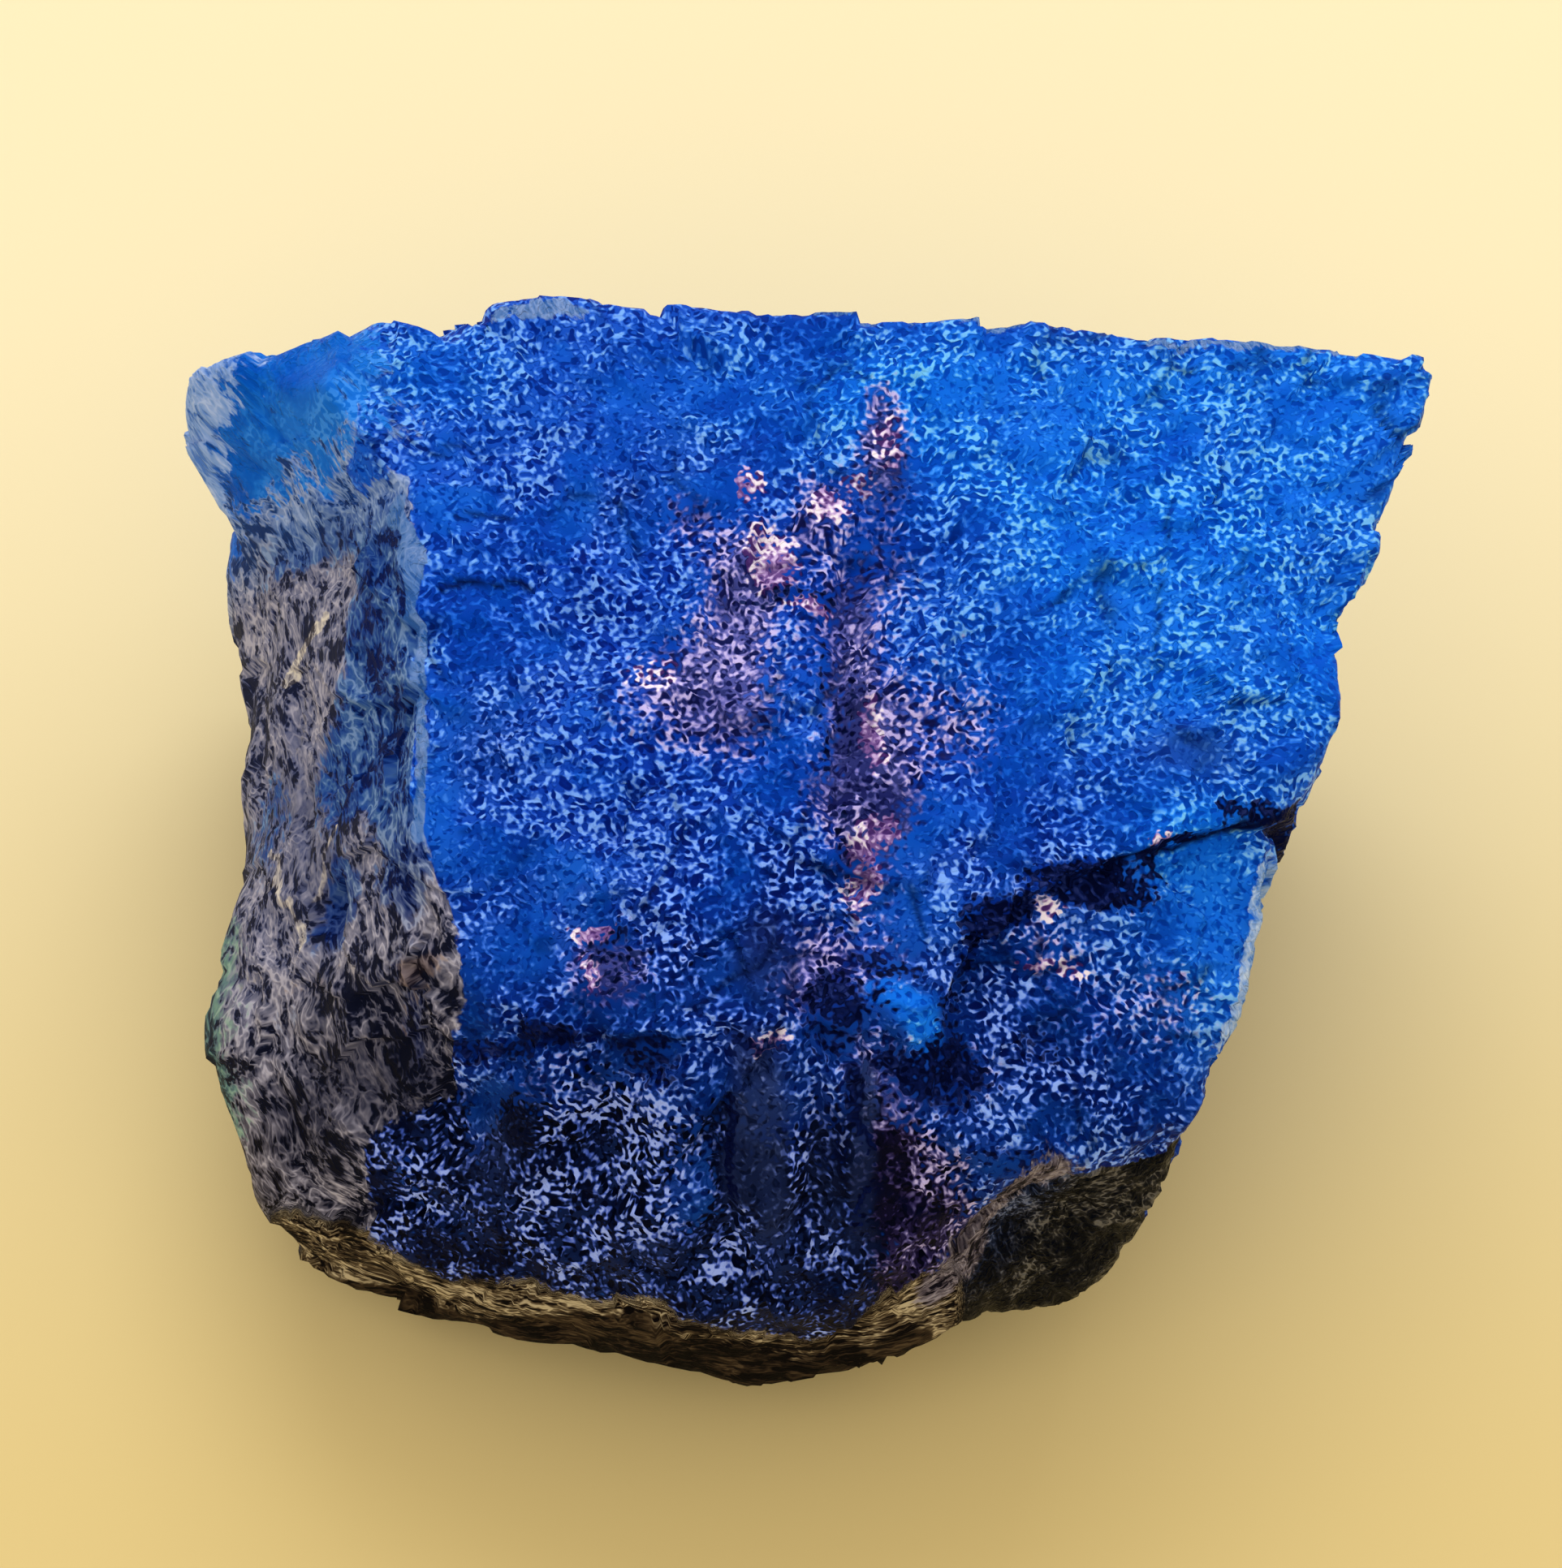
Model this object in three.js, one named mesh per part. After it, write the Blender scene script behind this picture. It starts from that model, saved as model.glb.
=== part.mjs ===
import * as THREE from 'three';
import * as BufferGeometryUtils from 'three/addons/utils/BufferGeometryUtils.js';

// Rough sapphire: one broken lump of crystal resting on its flat underside.
// Millimetres. +X runs along the longest side, -Y is the sloping front, +Z is up.

// ---- driving dimensions ----------------------------------------------------

// All reaches are measured from this point inside the stone.
const core = new THREE.Vector3(0, -1, 11);
// Moves the finished stone so its box stands centred over the origin.
const seat = new THREE.Vector3(-0.58, 1.87, 0);
// How far the underside is ground off to leave the flat resting face.
const baseCut = 0.3;
// Higher values keep the edges between fracture faces sharper.
const edgeSharpness = 70;
// Squares along each side of the top and bottom sheets.
const sheetCells = 46;
// The box the sheets are wrapped on: corners seen from above, measured from the core,
// the height of its lid, how much of each sheet the lid takes, and how far it draws in below.
const wrap = {
  backLeft: [-23, 17],
  backRight: [24, 14],
  frontRight: [13.5, -14.5],
  frontLeft: [-17, -15],
  height: 10.5,
  lidShare: 0.62,
  drawIn: 0.3,
};

// Fracture faces of the main lump: compass facing and lift in degrees, reach in mm.
const mainFaces = [
  { name: 'plateau left', facing: 270, lift: 85.3, reach: 9.4 },
  { name: 'plateau right', facing: -52, lift: 83, reach: 9.75 },
  { name: 'front slope', facing: 268, lift: 41, reach: 14.5 },
  { name: 'front right slope', facing: -55, lift: 58, reach: 12.9 },
  { name: 'left band', facing: 185, lift: 33, reach: 16.1 },
  { name: 'left band lower', facing: 208, lift: 36, reach: 16.7 },
  { name: 'left corner bevel', facing: 140, lift: 62, reach: 18.4 },
  { name: 'bottom left slope', facing: 249, lift: 33, reach: 15.8 },
  { name: 'left wall', facing: 184, lift: -4, reach: 20.3 },
  { name: 'left undercut', facing: 182, lift: -42, reach: 17.9 },
  { name: 'bottom left wall', facing: 220, lift: -5, reach: 23.0 },
  { name: 'front left wall', facing: 254, lift: -8, reach: 19.4 },
  { name: 'front wall', facing: 272, lift: -3, reach: 18.6 },
  { name: 'front undercut', facing: 262, lift: -38, reach: 18.4 },
  { name: 'front right facet', facing: 295, lift: 8, reach: 17.8 },
  { name: 'front right undercut', facing: -62, lift: -40, reach: 18.3 },
  { name: 'right low wall', facing: -33, lift: -5, reach: 18.9 },
  { name: 'right wall', facing: -15, lift: -12, reach: 16.3 },
  { name: 'right undercut', facing: -15, lift: -45, reach: 15.0 },
  { name: 'back right wall', facing: 87, lift: -12, reach: 13.9 },
  { name: 'back left wall', facing: 94, lift: -8, reach: 16.6 },
  { name: 'back undercut', facing: 85, lift: -40, reach: 13.5 },
  { name: 'underside', facing: 0, lift: -90, reach: 11.0 },
];

// Faces of the corner that juts out at the back left.
const cornerFaces = [
  { name: 'corner top', facing: 270, lift: 85.3, reach: 9.3 },
  { name: 'corner slope', facing: 168, lift: 54, reach: 19.5 },
  { name: 'corner back', facing: 94, lift: -8, reach: 16.7 },
  { name: 'corner wall', facing: 178, lift: -8, reach: 23.3 },
  { name: 'corner front', facing: 219, lift: 24, reach: 8.3 },
  { name: 'corner under', facing: 190, lift: -45, reach: 12.0 },
  { name: 'corner ends right', facing: 350, lift: 5, reach: 4.0 },
  { name: 'corner ends back', facing: 60, lift: 5, reach: 8.4 },
  { name: 'corner ends front', facing: 275, lift: 5, reach: 5.0 },
  { name: 'corner ends low', facing: 0, lift: -90, reach: 7.0 },
];

// Rounded lumps (push > 0) and hollows (push < 0), each round a point on the skin.
const lumps = [
  { name: 'left flank lobe', at: [-20.6, -7, 8], radius: 3.6, push: 1.1 },
  { name: 'left flank waist', at: [-20, 6, 9], radius: 3.5, push: -0.4 },
  { name: 'foot under the rim', at: [-1, -19, 2.2], radius: 2.0, push: 1.3 },
  { name: 'right tip', at: [23.5, 12, 20.5], radius: 2.5, push: 0.8 },
  { name: 'right belly', at: [18.2, -6, 17], radius: 3.2, push: 0.6 },
  { name: 'hollow over the facet', at: [8.2, -16.3, 11.2], radius: 2.6, push: -1.0 },
  { name: 'plateau swell', at: [-6.5, -1.5, 20.5], radius: 4.5, push: 0.35 },
  { name: 'plateau dip left', at: [-9, -10, 19.8], radius: 3.0, push: -0.45 },
  { name: 'right wing swell', at: [13, 6, 21], radius: 6.0, push: 0.4 },
  { name: 'azure flake', at: [4.5, -11.3, 19.2], radius: 1.5, push: 0.6 },
  { name: 'dip by the flake', at: [7.4, -10.8, 19], radius: 1.8, push: -0.6 },
  { name: 'window pit', at: [-16.1, -5.8, 15.3], radius: 1.3, push: -0.7 },
  { name: 'brown flake', at: [-12.7, -9.3, 18.7], radius: 0.8, push: 0.4 },
  { name: 'small pit', at: [-10, 7.4, 21.1], radius: 0.7, push: -0.4 },
  { name: 'front pocket', at: [-6.3, -14.9, 16.4], radius: 1.9, push: -0.6 },
  { name: 'front pocket left', at: [-11.5, -13.8, 15.3], radius: 1.9, push: -0.5 },
  { name: 'front boss', at: [-4.5, -16.6, 14.2], radius: 1.9, push: 0.5 },
  { name: 'right edge notch', at: [20.3, 3.9, 19.6], radius: 1.6, push: -0.7 },
  { name: 'crack mouth', at: [18.7, -3.4, 18.2], radius: 1.2, push: -0.7 },
  { name: 'corner tip', at: [-21.6, 16, 15.6], radius: 2.4, push: 0.9 },
  { name: 'corner side', at: [-22.6, 12.4, 15.4], radius: 1.8, push: 1.0 },
  { name: 'corner back dip', at: [-15.4, 16, 20], radius: 2.8, push: -0.8 },
  { name: 'back hump', at: [-7.6, 16.4, 20.5], radius: 3.4, push: 0.6 },
  { name: 'back bump', at: [0.6, 15.2, 20.8], radius: 2.4, push: 0.4 },
  { name: 'facet foot', at: [13.4, -13.6, 6], radius: 2.6, push: 0.35 },
  { name: 'facet foot left', at: [9.6, -16.2, 6], radius: 2.0, push: 0.7 },
  { name: 'foot right dip', at: [6.4, -17.8, 4], radius: 2.4, push: -1.3 },
  { name: 'foot left dip', at: [-15.8, -15.4, 8], radius: 3.0, push: -0.95 },
];

// Steps in the top: the ground to the left of each path lies lower by the drop,
// reached over the ramp and lost again over the fade.
const ledges = [
  {
    name: 'diagonal ledge',
    path: [[19.5, -3.0], [15.5, -4.2], [12, -5.3], [8.2, -7.0], [6.3, -9.9]],
    drop: 0.9,
    ramp: 1.0,
    fade: 5.5,
  },
  {
    name: 'front break',
    path: [[2.4, -12.2], [-2.0, -11.9], [-7.4, -12.3], [-12.0, -11.4]],
    drop: 0.4,
    ramp: 1.0,
    fade: 3.5,
  },
];

// Narrow channels in the top and the front.
const grooves = [
  {
    name: 'central groove',
    path: [[2.3, 5.2], [2.1, 0.5], [1.8, -3.5], [2.4, -6.5], [1.6, -9.5], [1.1, -11.9]],
    depth: 0.6,
    halfWidth: 0.9,
  },
  { name: 'rib gap left', path: [[-2.3, -13], [-1.8, -18.6]], depth: 0.5, halfWidth: 0.7 },
  { name: 'rib gap right', path: [[1.2, -13], [1.3, -19.2]], depth: 0.5, halfWidth: 0.7 },
];

// Uneven ground added everywhere: size of the swells and their height, in mm.
const swells = [
  { size: 9.0, height: 0.5 },
  { size: 4.5, height: 0.22 },
  { size: 2.4, height: 0.12 },
];
// Flat crystal chips: spacing of the chips and how steeply each may tilt.
const chips = { size: 3.4, tilt: 0.14 };

// ---- small tools -------------------------------------------------------------

function faceNormal(face) {
  const facing = THREE.MathUtils.degToRad(face.facing);
  const lift = THREE.MathUtils.degToRad(face.lift);
  const flat = Math.cos(lift);
  return new THREE.Vector3(flat * Math.cos(facing), flat * Math.sin(facing), Math.sin(lift));
}

// A fixed pseudo-random number from 0 to 1 for a lattice point.
function scatter(i, j, k, salt) {
  const wave = Math.sin(i * 127.1 + j * 311.7 + k * 74.7 + salt * 53.3) * 43758.5453;
  return wave - Math.floor(wave);
}

function ease(t) {
  return t * t * (3 - 2 * t);
}

// Smooth noise from -1 to 1, one swing per lattice step.
function smoothNoise(x, y, z, salt) {
  const i = Math.floor(x);
  const j = Math.floor(y);
  const k = Math.floor(z);
  const u = ease(x - i);
  const v = ease(y - j);
  const w = ease(z - k);
  let sum = 0;
  for (let corner = 0; corner < 8; corner += 1) {
    const di = corner & 1;
    const dj = (corner >> 1) & 1;
    const dk = (corner >> 2) & 1;
    const weight = (di ? u : 1 - u) * (dj ? v : 1 - v) * (dk ? w : 1 - w);
    sum += weight * scatter(i + di, j + dj, k + dk, salt);
  }
  return 2 * sum - 1;
}

// Distance to a path seen from above; side > 0 means to the left of its direction.
function pathDistance(path, x, y) {
  let best = { distance: Infinity, side: 0 };
  for (let n = 0; n + 1 < path.length; n += 1) {
    const [ax, ay] = path[n];
    const [bx, by] = path[n + 1];
    const dx = bx - ax;
    const dy = by - ay;
    const along = ((x - ax) * dx + (y - ay) * dy) / (dx * dx + dy * dy);
    const t = Math.min(1, Math.max(0, along));
    const distance = Math.hypot(x - ax - t * dx, y - ay - t * dy);
    if (distance < best.distance) {
      best = { distance, side: dx * (y - ay) - dy * (x - ax) };
    }
  }
  return best;
}

// ---- the shape ---------------------------------------------------------------

const mainNormals = mainFaces.map(faceNormal);
const cornerNormals = cornerFaces.map(faceNormal);

// How many times the arm from the core can be laid out before it meets the faces.
function armScale(arm, faces, normals) {
  let sum = 0;
  for (let n = 0; n < faces.length; n += 1) {
    const lean = normals[n].dot(arm) / faces[n].reach;
    if (lean > 0) {
      sum += lean ** edgeSharpness;
    }
  }
  return 1 / sum ** (1 / edgeSharpness);
}

function lumpHeight(p) {
  let height = 0;
  for (const lump of lumps) {
    const [x, y, z] = lump.at;
    const gap = (p.x - x) ** 2 + (p.y - y) ** 2 + (p.z - z) ** 2;
    height += lump.push * Math.exp(-gap / lump.radius ** 2);
  }
  return height;
}

// 1 on the top of the stone, fading to 0 down its walls.
function topShare(p) {
  return ease(Math.min(1, Math.max(0, (p.z - core.z) / 4)));
}

function ledgeHeight(p) {
  let height = 0;
  for (const ledge of ledges) {
    const near = pathDistance(ledge.path, p.x, p.y);
    const inFront = near.side > 0 ? near.distance : 0;
    const onset = ease(Math.min(1, inFront / ledge.ramp));
    const left = ease(1 - Math.min(1, inFront / ledge.fade));
    height -= ledge.drop * onset * left * topShare(p);
  }
  return height;
}

function grooveHeight(p) {
  let height = 0;
  for (const groove of grooves) {
    const near = pathDistance(groove.path, p.x, p.y);
    const profile = Math.exp(-((near.distance / groove.halfWidth) ** 2));
    height -= groove.depth * profile * topShare(p);
  }
  return height;
}

function swellHeight(p) {
  let height = 0;
  swells.forEach((swell, n) => {
    const s = swell.size;
    height += swell.height * smoothNoise(p.x / s, p.y / s, p.z / s, n + 1);
  });
  return height;
}

// Each chip is the ground nearest one scattered seed, tilted its own way.
function chipHeight(p) {
  const x = p.x / chips.size;
  const y = p.y / chips.size;
  const z = p.z / chips.size;
  let nearest = Infinity;
  let height = 0;
  for (let n = 0; n < 27; n += 1) {
    const i = Math.floor(x) + (n % 3) - 1;
    const j = Math.floor(y) + (Math.floor(n / 3) % 3) - 1;
    const k = Math.floor(z) + Math.floor(n / 9) - 1;
    const dx = x - i - scatter(i, j, k, 11);
    const dy = y - j - scatter(i, j, k, 12);
    const dz = z - k - scatter(i, j, k, 13);
    const gap = dx * dx + dy * dy + dz * dz;
    if (gap < nearest) {
      nearest = gap;
      const tiltX = 2 * scatter(i, j, k, 14) - 1;
      const tiltY = 2 * scatter(i, j, k, 15) - 1;
      const tiltZ = 2 * scatter(i, j, k, 16) - 1;
      height = chips.tilt * chips.size * (tiltX * dx + tiltY * dy + tiltZ * dz);
    }
  }
  return height;
}

// The point of the skin that an arm from the core passes through.
function skinPoint(arm) {
  const main = armScale(arm, mainFaces, mainNormals);
  const corner = armScale(arm, cornerFaces, cornerNormals);
  const point = arm.clone().multiplyScalar(Math.max(main, corner)).add(core);
  const outward = point.clone().sub(core).normalize();
  const height = lumpHeight(point) + ledgeHeight(point) + grooveHeight(point)
    + swellHeight(point) + chipHeight(point);
  point.addScaledVector(outward, height).add(seat);
  point.z = Math.max(0, point.z - baseCut);
  return point;
}

// A point of the wrapping box's outline seen from above, for a and b from -1 to 1.
function planPoint(a, b) {
  const right = (1 + a) / 2;
  const back = (1 + b) / 2;
  return [0, 1].map((n) => {
    const front = (1 - right) * wrap.frontLeft[n] + right * wrap.frontRight[n];
    const rear = (1 - right) * wrap.backLeft[n] + right * wrap.backRight[n];
    return (1 - back) * front + back * rear;
  });
}

// A square sheet of cells folded over half of the wrapping box: lid first, then walls.
function wrapArm(a, b, up) {
  const rim = Math.max(Math.abs(a), Math.abs(b));
  const spread = 1 / Math.max(rim, wrap.lidShare);
  const rise = Math.min(1, (1 - rim) / (1 - wrap.lidShare));
  const narrow = up > 0 ? 1 : 1 - wrap.drawIn * rise;
  const [x, y] = planPoint(a * spread, b * spread);
  return new THREE.Vector3(x * narrow, y * narrow, wrap.height * rise * up);
}

function buildSheet(up) {
  const positions = [];
  const faces = [];
  const side = sheetCells + 1;
  for (let i = 0; i < side; i += 1) {
    for (let j = 0; j < side; j += 1) {
      const a = (2 * i) / sheetCells - 1;
      const b = (2 * j) / sheetCells - 1;
      const point = skinPoint(wrapArm(a, b, up));
      positions.push(point.x, point.y, point.z);
    }
  }
  for (let i = 0; i < sheetCells; i += 1) {
    for (let j = 0; j < sheetCells; j += 1) {
      const near = i * side + j;
      const far = near + side;
      // The diagonal swaps by quadrant, so it runs out to each corner of the sheet.
      const outToCorner = (2 * i < sheetCells) === (2 * j < sheetCells);
      const cell = outToCorner
        ? [near, far, far + 1, near, far + 1, near + 1]
        : [near, far, near + 1, far, far + 1, near + 1];
      faces.push(...(up > 0 ? cell : cell.reverse()));
    }
  }
  const sheet = new THREE.BufferGeometry();
  sheet.setAttribute('position', new THREE.Float32BufferAttribute(positions, 3));
  sheet.setIndex(faces);
  return sheet;
}

function buildStone() {
  const both = BufferGeometryUtils.mergeGeometries([buildSheet(1), buildSheet(-1)]);
  const skin = BufferGeometryUtils.mergeVertices(both, 1e-3);
  skin.computeVertexNormals();
  return skin;
}

const stoneBlue = new THREE.MeshStandardMaterial({
  name: 'sapphire',
  color: 0x2457a6,
  roughness: 0.45,
  metalness: 0,
  flatShading: true,
});

const stone = new THREE.Mesh(buildStone(), stoneBlue);
stone.name = 'rough_sapphire';

const part = new THREE.Group();
part.name = 'sapphire_rough_stone';
part.add(stone);

export default part;
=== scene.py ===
import bpy
import math
import numpy as np
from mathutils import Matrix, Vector


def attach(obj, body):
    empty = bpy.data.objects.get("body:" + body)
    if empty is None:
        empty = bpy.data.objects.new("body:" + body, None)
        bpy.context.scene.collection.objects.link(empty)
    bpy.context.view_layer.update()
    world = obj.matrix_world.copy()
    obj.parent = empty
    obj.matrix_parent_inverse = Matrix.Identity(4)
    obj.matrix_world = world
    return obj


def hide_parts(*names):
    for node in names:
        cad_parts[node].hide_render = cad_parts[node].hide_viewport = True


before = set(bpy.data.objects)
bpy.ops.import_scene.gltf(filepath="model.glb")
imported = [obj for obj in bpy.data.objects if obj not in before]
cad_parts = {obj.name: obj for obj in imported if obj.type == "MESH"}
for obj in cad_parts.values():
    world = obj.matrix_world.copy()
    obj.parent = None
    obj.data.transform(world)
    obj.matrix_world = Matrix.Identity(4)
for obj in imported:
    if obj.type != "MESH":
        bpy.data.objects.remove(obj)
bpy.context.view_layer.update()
print("frame loaded")

# The stone's shape, all in millimetres.
stone = {
    "core": (0.0, -1.0, 11.0),  # every arm to the skin starts here
    "seat": (-0.58, 1.87, 0.0),  # centres the finished stone over the origin
    "baseCut": 0.3,  # ground off below, which leaves the flat resting face
    "edgeSharpness": 70.0,
    "cellsAcross": 320,  # both even; the sheet below has half as many each way
    "cellsDeep": 230,
    "jitter": 0.32,  # how far grid points stray, in cells
    "wrapCorners": ((-17, -15), (13.5, -14.5), (-23, 17), (24, 14)),
    "wrapHeight": 10.5,
    "lidShare": 0.62,
    "drawIn": 0.3,
    # name: facing and lift in degrees, reach from the core in mm
    "mainFaces": {
        "plateauLeft": (270, 85.3, 9.4),
        "plateauRight": (-52, 83, 9.75),
        "frontSlope": (268, 41, 14.5),
        "frontRightSlope": (-55, 58, 12.9),
        "leftBand": (185, 33, 16.1),
        "leftBandLower": (208, 36, 16.7),
        "leftCornerBevel": (140, 62, 18.4),
        "bottomLeftSlope": (249, 33, 15.8),
        "leftWall": (184, -4, 20.3),
        "leftUndercut": (182, -42, 17.9),
        "bottomLeftWall": (220, -5, 23.0),
        "frontLeftWall": (254, -8, 19.4),
        "frontWall": (272, -3, 18.6),
        "frontUndercut": (262, -38, 18.4),
        "frontRightFacet": (295, 8, 17.8),
        "frontRightUndercut": (-62, -40, 18.3),
        "rightLowWall": (-33, -5, 18.9),
        "rightWall": (-15, -12, 16.3),
        "rightUndercut": (-15, -45, 15.0),
        "backRightWall": (87, -12, 13.9),
        "backLeftWall": (94, -8, 16.6),
        "backUndercut": (85, -40, 13.5),
        "underside": (0, -90, 11.0),
    },
    "cornerFaces": {
        "cornerTop": (270, 85.3, 9.3),
        "cornerSlope": (168, 54, 19.5),
        "cornerBack": (94, -8, 16.7),
        "cornerWall": (178, -8, 23.3),
        "cornerFront": (219, 24, 8.3),
        "cornerUnder": (190, -45, 12.0),
        "cornerEndsRight": (350, 5, 4.0),
        "cornerEndsBack": (60, 5, 8.4),
        "cornerEndsFront": (275, 5, 5.0),
        "cornerEndsLow": (0, -90, 7.0),
    },
    # place, radius, push
    "lumps": {
        "leftFlankLobe": ((-20.6, -7, 8), 3.6, 1.1),
        "leftFlankWaist": ((-20, 6, 9), 3.5, -0.4),
        "footUnderRim": ((-1, -19, 2.2), 2.0, 1.3),
        "rightTip": ((23.5, 12, 20.5), 2.5, 0.8),
        "rightBelly": ((18.2, -6, 17), 3.2, 0.6),
        "hollowOverFacet": ((8.2, -16.3, 11.2), 2.6, -1.0),
        "plateauSwell": ((-6.5, -1.5, 20.5), 4.5, 0.35),
        "plateauDipLeft": ((-9, -10, 19.8), 3.0, -0.45),
        "rightWingSwell": ((13, 6, 21), 6.0, 0.4),
        "azureFlake": ((4.5, -11.3, 19.2), 1.5, 0.6),
        "dipByFlake": ((7.4, -10.8, 19), 1.8, -0.6),
        "windowPit": ((-16.1, -5.8, 15.3), 1.3, -0.7),
        "brownFlake": ((-12.7, -9.3, 18.7), 0.8, 0.4),
        "smallPit": ((-10, 7.4, 21.1), 0.7, -0.4),
        "frontPocket": ((-6.3, -14.9, 16.4), 1.9, -0.6),
        "frontPocketLeft": ((-11.5, -13.8, 15.3), 1.9, -0.5),
        "frontBoss": ((-4.5, -16.6, 14.2), 1.9, 0.5),
        "rightEdgeNotch": ((20.3, 3.9, 19.6), 1.6, -0.7),
        "crackMouth": ((18.7, -3.4, 18.2), 1.2, -0.7),
        "cornerTip": ((-21.6, 16.0, 15.6), 2.4, 0.9),
        "cornerBackDip": ((-15.4, 16, 20), 2.8, -0.8),
        "backHump": ((-7.6, 16.4, 20.5), 3.4, 0.6),
        "facetFoot": ((13.4, -13.6, 6), 2.6, 0.35),
        "facetFootLeft": ((9.6, -16.2, 6), 2.0, 0.7),
        "footRightDip": ((6.4, -17.8, 4), 2.4, -1.3),
        "footLeftDip": ((-15.8, -15.4, 8), 3.0, -0.95),
        "cornerSide": ((-22.6, 12.4, 15.4), 1.8, 1.0),
        "backBump": ((0.6, 15.2, 20.8), 2.4, 0.4),
    },
    # path seen from above, drop to its left, ramp, fade
    "ledges": {
        "diagonalLedge": (
            ((19.5, -3.0), (15.5, -4.2), (12, -5.3), (8.2, -7.0), (6.3, -9.9)), 0.9, 0.35, 5.5,
        ),
        "frontBreak": (((2.4, -12.2), (-2.0, -11.9), (-7.4, -12.3), (-12.0, -11.4)), 0.4, 0.6, 3.5),
    },
    # path seen from above, depth, half width
    "grooves": {
        "centralGroove": (
            ((2.3, 5.2), (2.1, 0.5), (1.8, -3.5), (2.4, -6.5), (1.6, -9.5), (1.1, -11.9)), 0.6, 0.7,
        ),
        "ribGapLeft": (((-2.3, -13), (-1.8, -18.6)), 0.5, 0.6),
        "ribGapRight": (((1.2, -13), (1.3, -19.2)), 0.5, 0.6),
    },
    "swells": ((9.0, 0.5), (4.5, 0.22), (2.4, 0.12)),  # size, height
    "chips": (3.4, 0.14),  # size, tilt
    "fineChips": ((3.4, 0.0), (1.6, 0.14), (0.8, 0.11)),  # size, tilt: too small for the solid
}


# Unit normal from facing and lift: (cos lift cos facing, cos lift sin facing, sin lift).
def faceTable(faces):
    table = np.array(list(faces.values()), float)
    facing, lift = np.radians(table[:, 0]), np.radians(table[:, 1])
    normals = np.stack([np.cos(lift) * np.cos(facing), np.cos(lift) * np.sin(facing), np.sin(lift)], -1)
    return normals, table[:, 2]


# Fractional part of a large sine: a fixed pseudo-random number for each lattice point.
def scatter(i, j, k, salt):
    wave = np.sin(i * 127.1 + j * 311.7 + k * 74.7 + salt * 53.3) * 43758.5453
    return wave - np.floor(wave)


# 3t^2 - 2t^3 on the clipped value.
def ease(t):
    t = np.clip(t, 0, 1)
    return t * t * (3 - 2 * t)


# Lattice numbers blended by eased distance, stretched to run from -1 to 1.
def smoothNoise(p, salt):
    cell = np.floor(p)
    u, v, w = np.moveaxis(ease(p - cell), -1, 0)
    i, j, k = np.moveaxis(cell, -1, 0)
    total = 0
    for corner in range(8):
        di, dj, dk = corner & 1, corner >> 1 & 1, corner >> 2 & 1
        weight = (u if di else 1 - u) * (v if dj else 1 - v) * (w if dk else 1 - w)
        total = total + weight * scatter(i + di, j + dj, k + dk, salt)
    return 2 * total - 1


# Sum of noises, each half as large across and half as high as the one before.
def fractalNoise(p, size, octaves, salt):
    total = 0
    for n in range(octaves):
        total = total + smoothNoise(p * 2 ** n / size, salt + n) / 2 ** n
    return total


# Nearest scattered seed in the lattice; height = its own random tilt dotted with the way to it.
# Also gives that seed's own shade and how much farther the second seed lies, in cells.
def chips(p, size, tilt, salt):
    q = p / size
    cell = np.floor(q)
    nearest, second = np.full(p.shape[:-1], np.inf), np.full(p.shape[:-1], np.inf)
    height, shade = np.zeros(p.shape[:-1]), np.zeros(p.shape[:-1])
    for n in range(27):
        i, j, k = (cell[..., 0] + n % 3 - 1, cell[..., 1] + n // 3 % 3 - 1, cell[..., 2] + n // 9 - 1)
        away = np.stack([q[..., a] - c - scatter(i, j, k, salt + a) for a, c in enumerate((i, j, k))], -1)
        gap = np.sqrt((away ** 2).sum(-1))
        lean = np.stack([2 * scatter(i, j, k, salt + 3 + a) - 1 for a in range(3)], -1)
        closer = gap < nearest
        second = np.where(closer, nearest, np.minimum(second, gap))
        nearest = np.where(closer, gap, nearest)
        height = np.where(closer, tilt * size * (lean * away).sum(-1), height)
        shade = np.where(closer, scatter(i, j, k, salt + 6), shade)
    return height, shade, second - nearest


# Shortest way to a chain of segments seen from above; side > 0 lies to the left of it.
def pathDistance(path, p):
    best = np.full(p.shape[:-1], np.inf)
    side = np.zeros(p.shape[:-1])
    x, y = p[..., 0], p[..., 1]
    for (ax, ay), (bx, by) in zip(path, path[1:]):
        dx, dy = bx - ax, by - ay
        t = np.clip(((x - ax) * dx + (y - ay) * dy) / (dx * dx + dy * dy), 0, 1)
        distance = np.hypot(x - ax - t * dx, y - ay - t * dy)
        closer = distance < best
        best = np.where(closer, distance, best)
        side = np.where(closer, dx * (y - ay) - dy * (x - ax), side)
    return best, side


# 1 / p-norm of (normal . arm / reach): how often the arm fits between core and skin.
def armScale(arms, faces):
    normals, reaches = faceTable(faces)
    lean = np.maximum(arms @ normals.T / reaches, 0)
    most = lean.max(-1)
    power = stone["edgeSharpness"]
    return 1 / (most * ((lean / most[..., None]) ** power).sum(-1) ** (1 / power))


# How much of the skin under each arm belongs to each main face, softly: lean to a lower power.
def faceShares(arms, softness=26):
    normals, reaches = faceTable(stone["mainFaces"])
    lean = np.maximum(arms @ normals.T / reaches, 1e-6)
    lean = (lean / lean.max(-1, keepdims=True)) ** softness
    lean = lean / lean.sum(-1, keepdims=True)
    return dict(zip(stone["mainFaces"], np.moveaxis(lean, -1, 0)))


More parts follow.
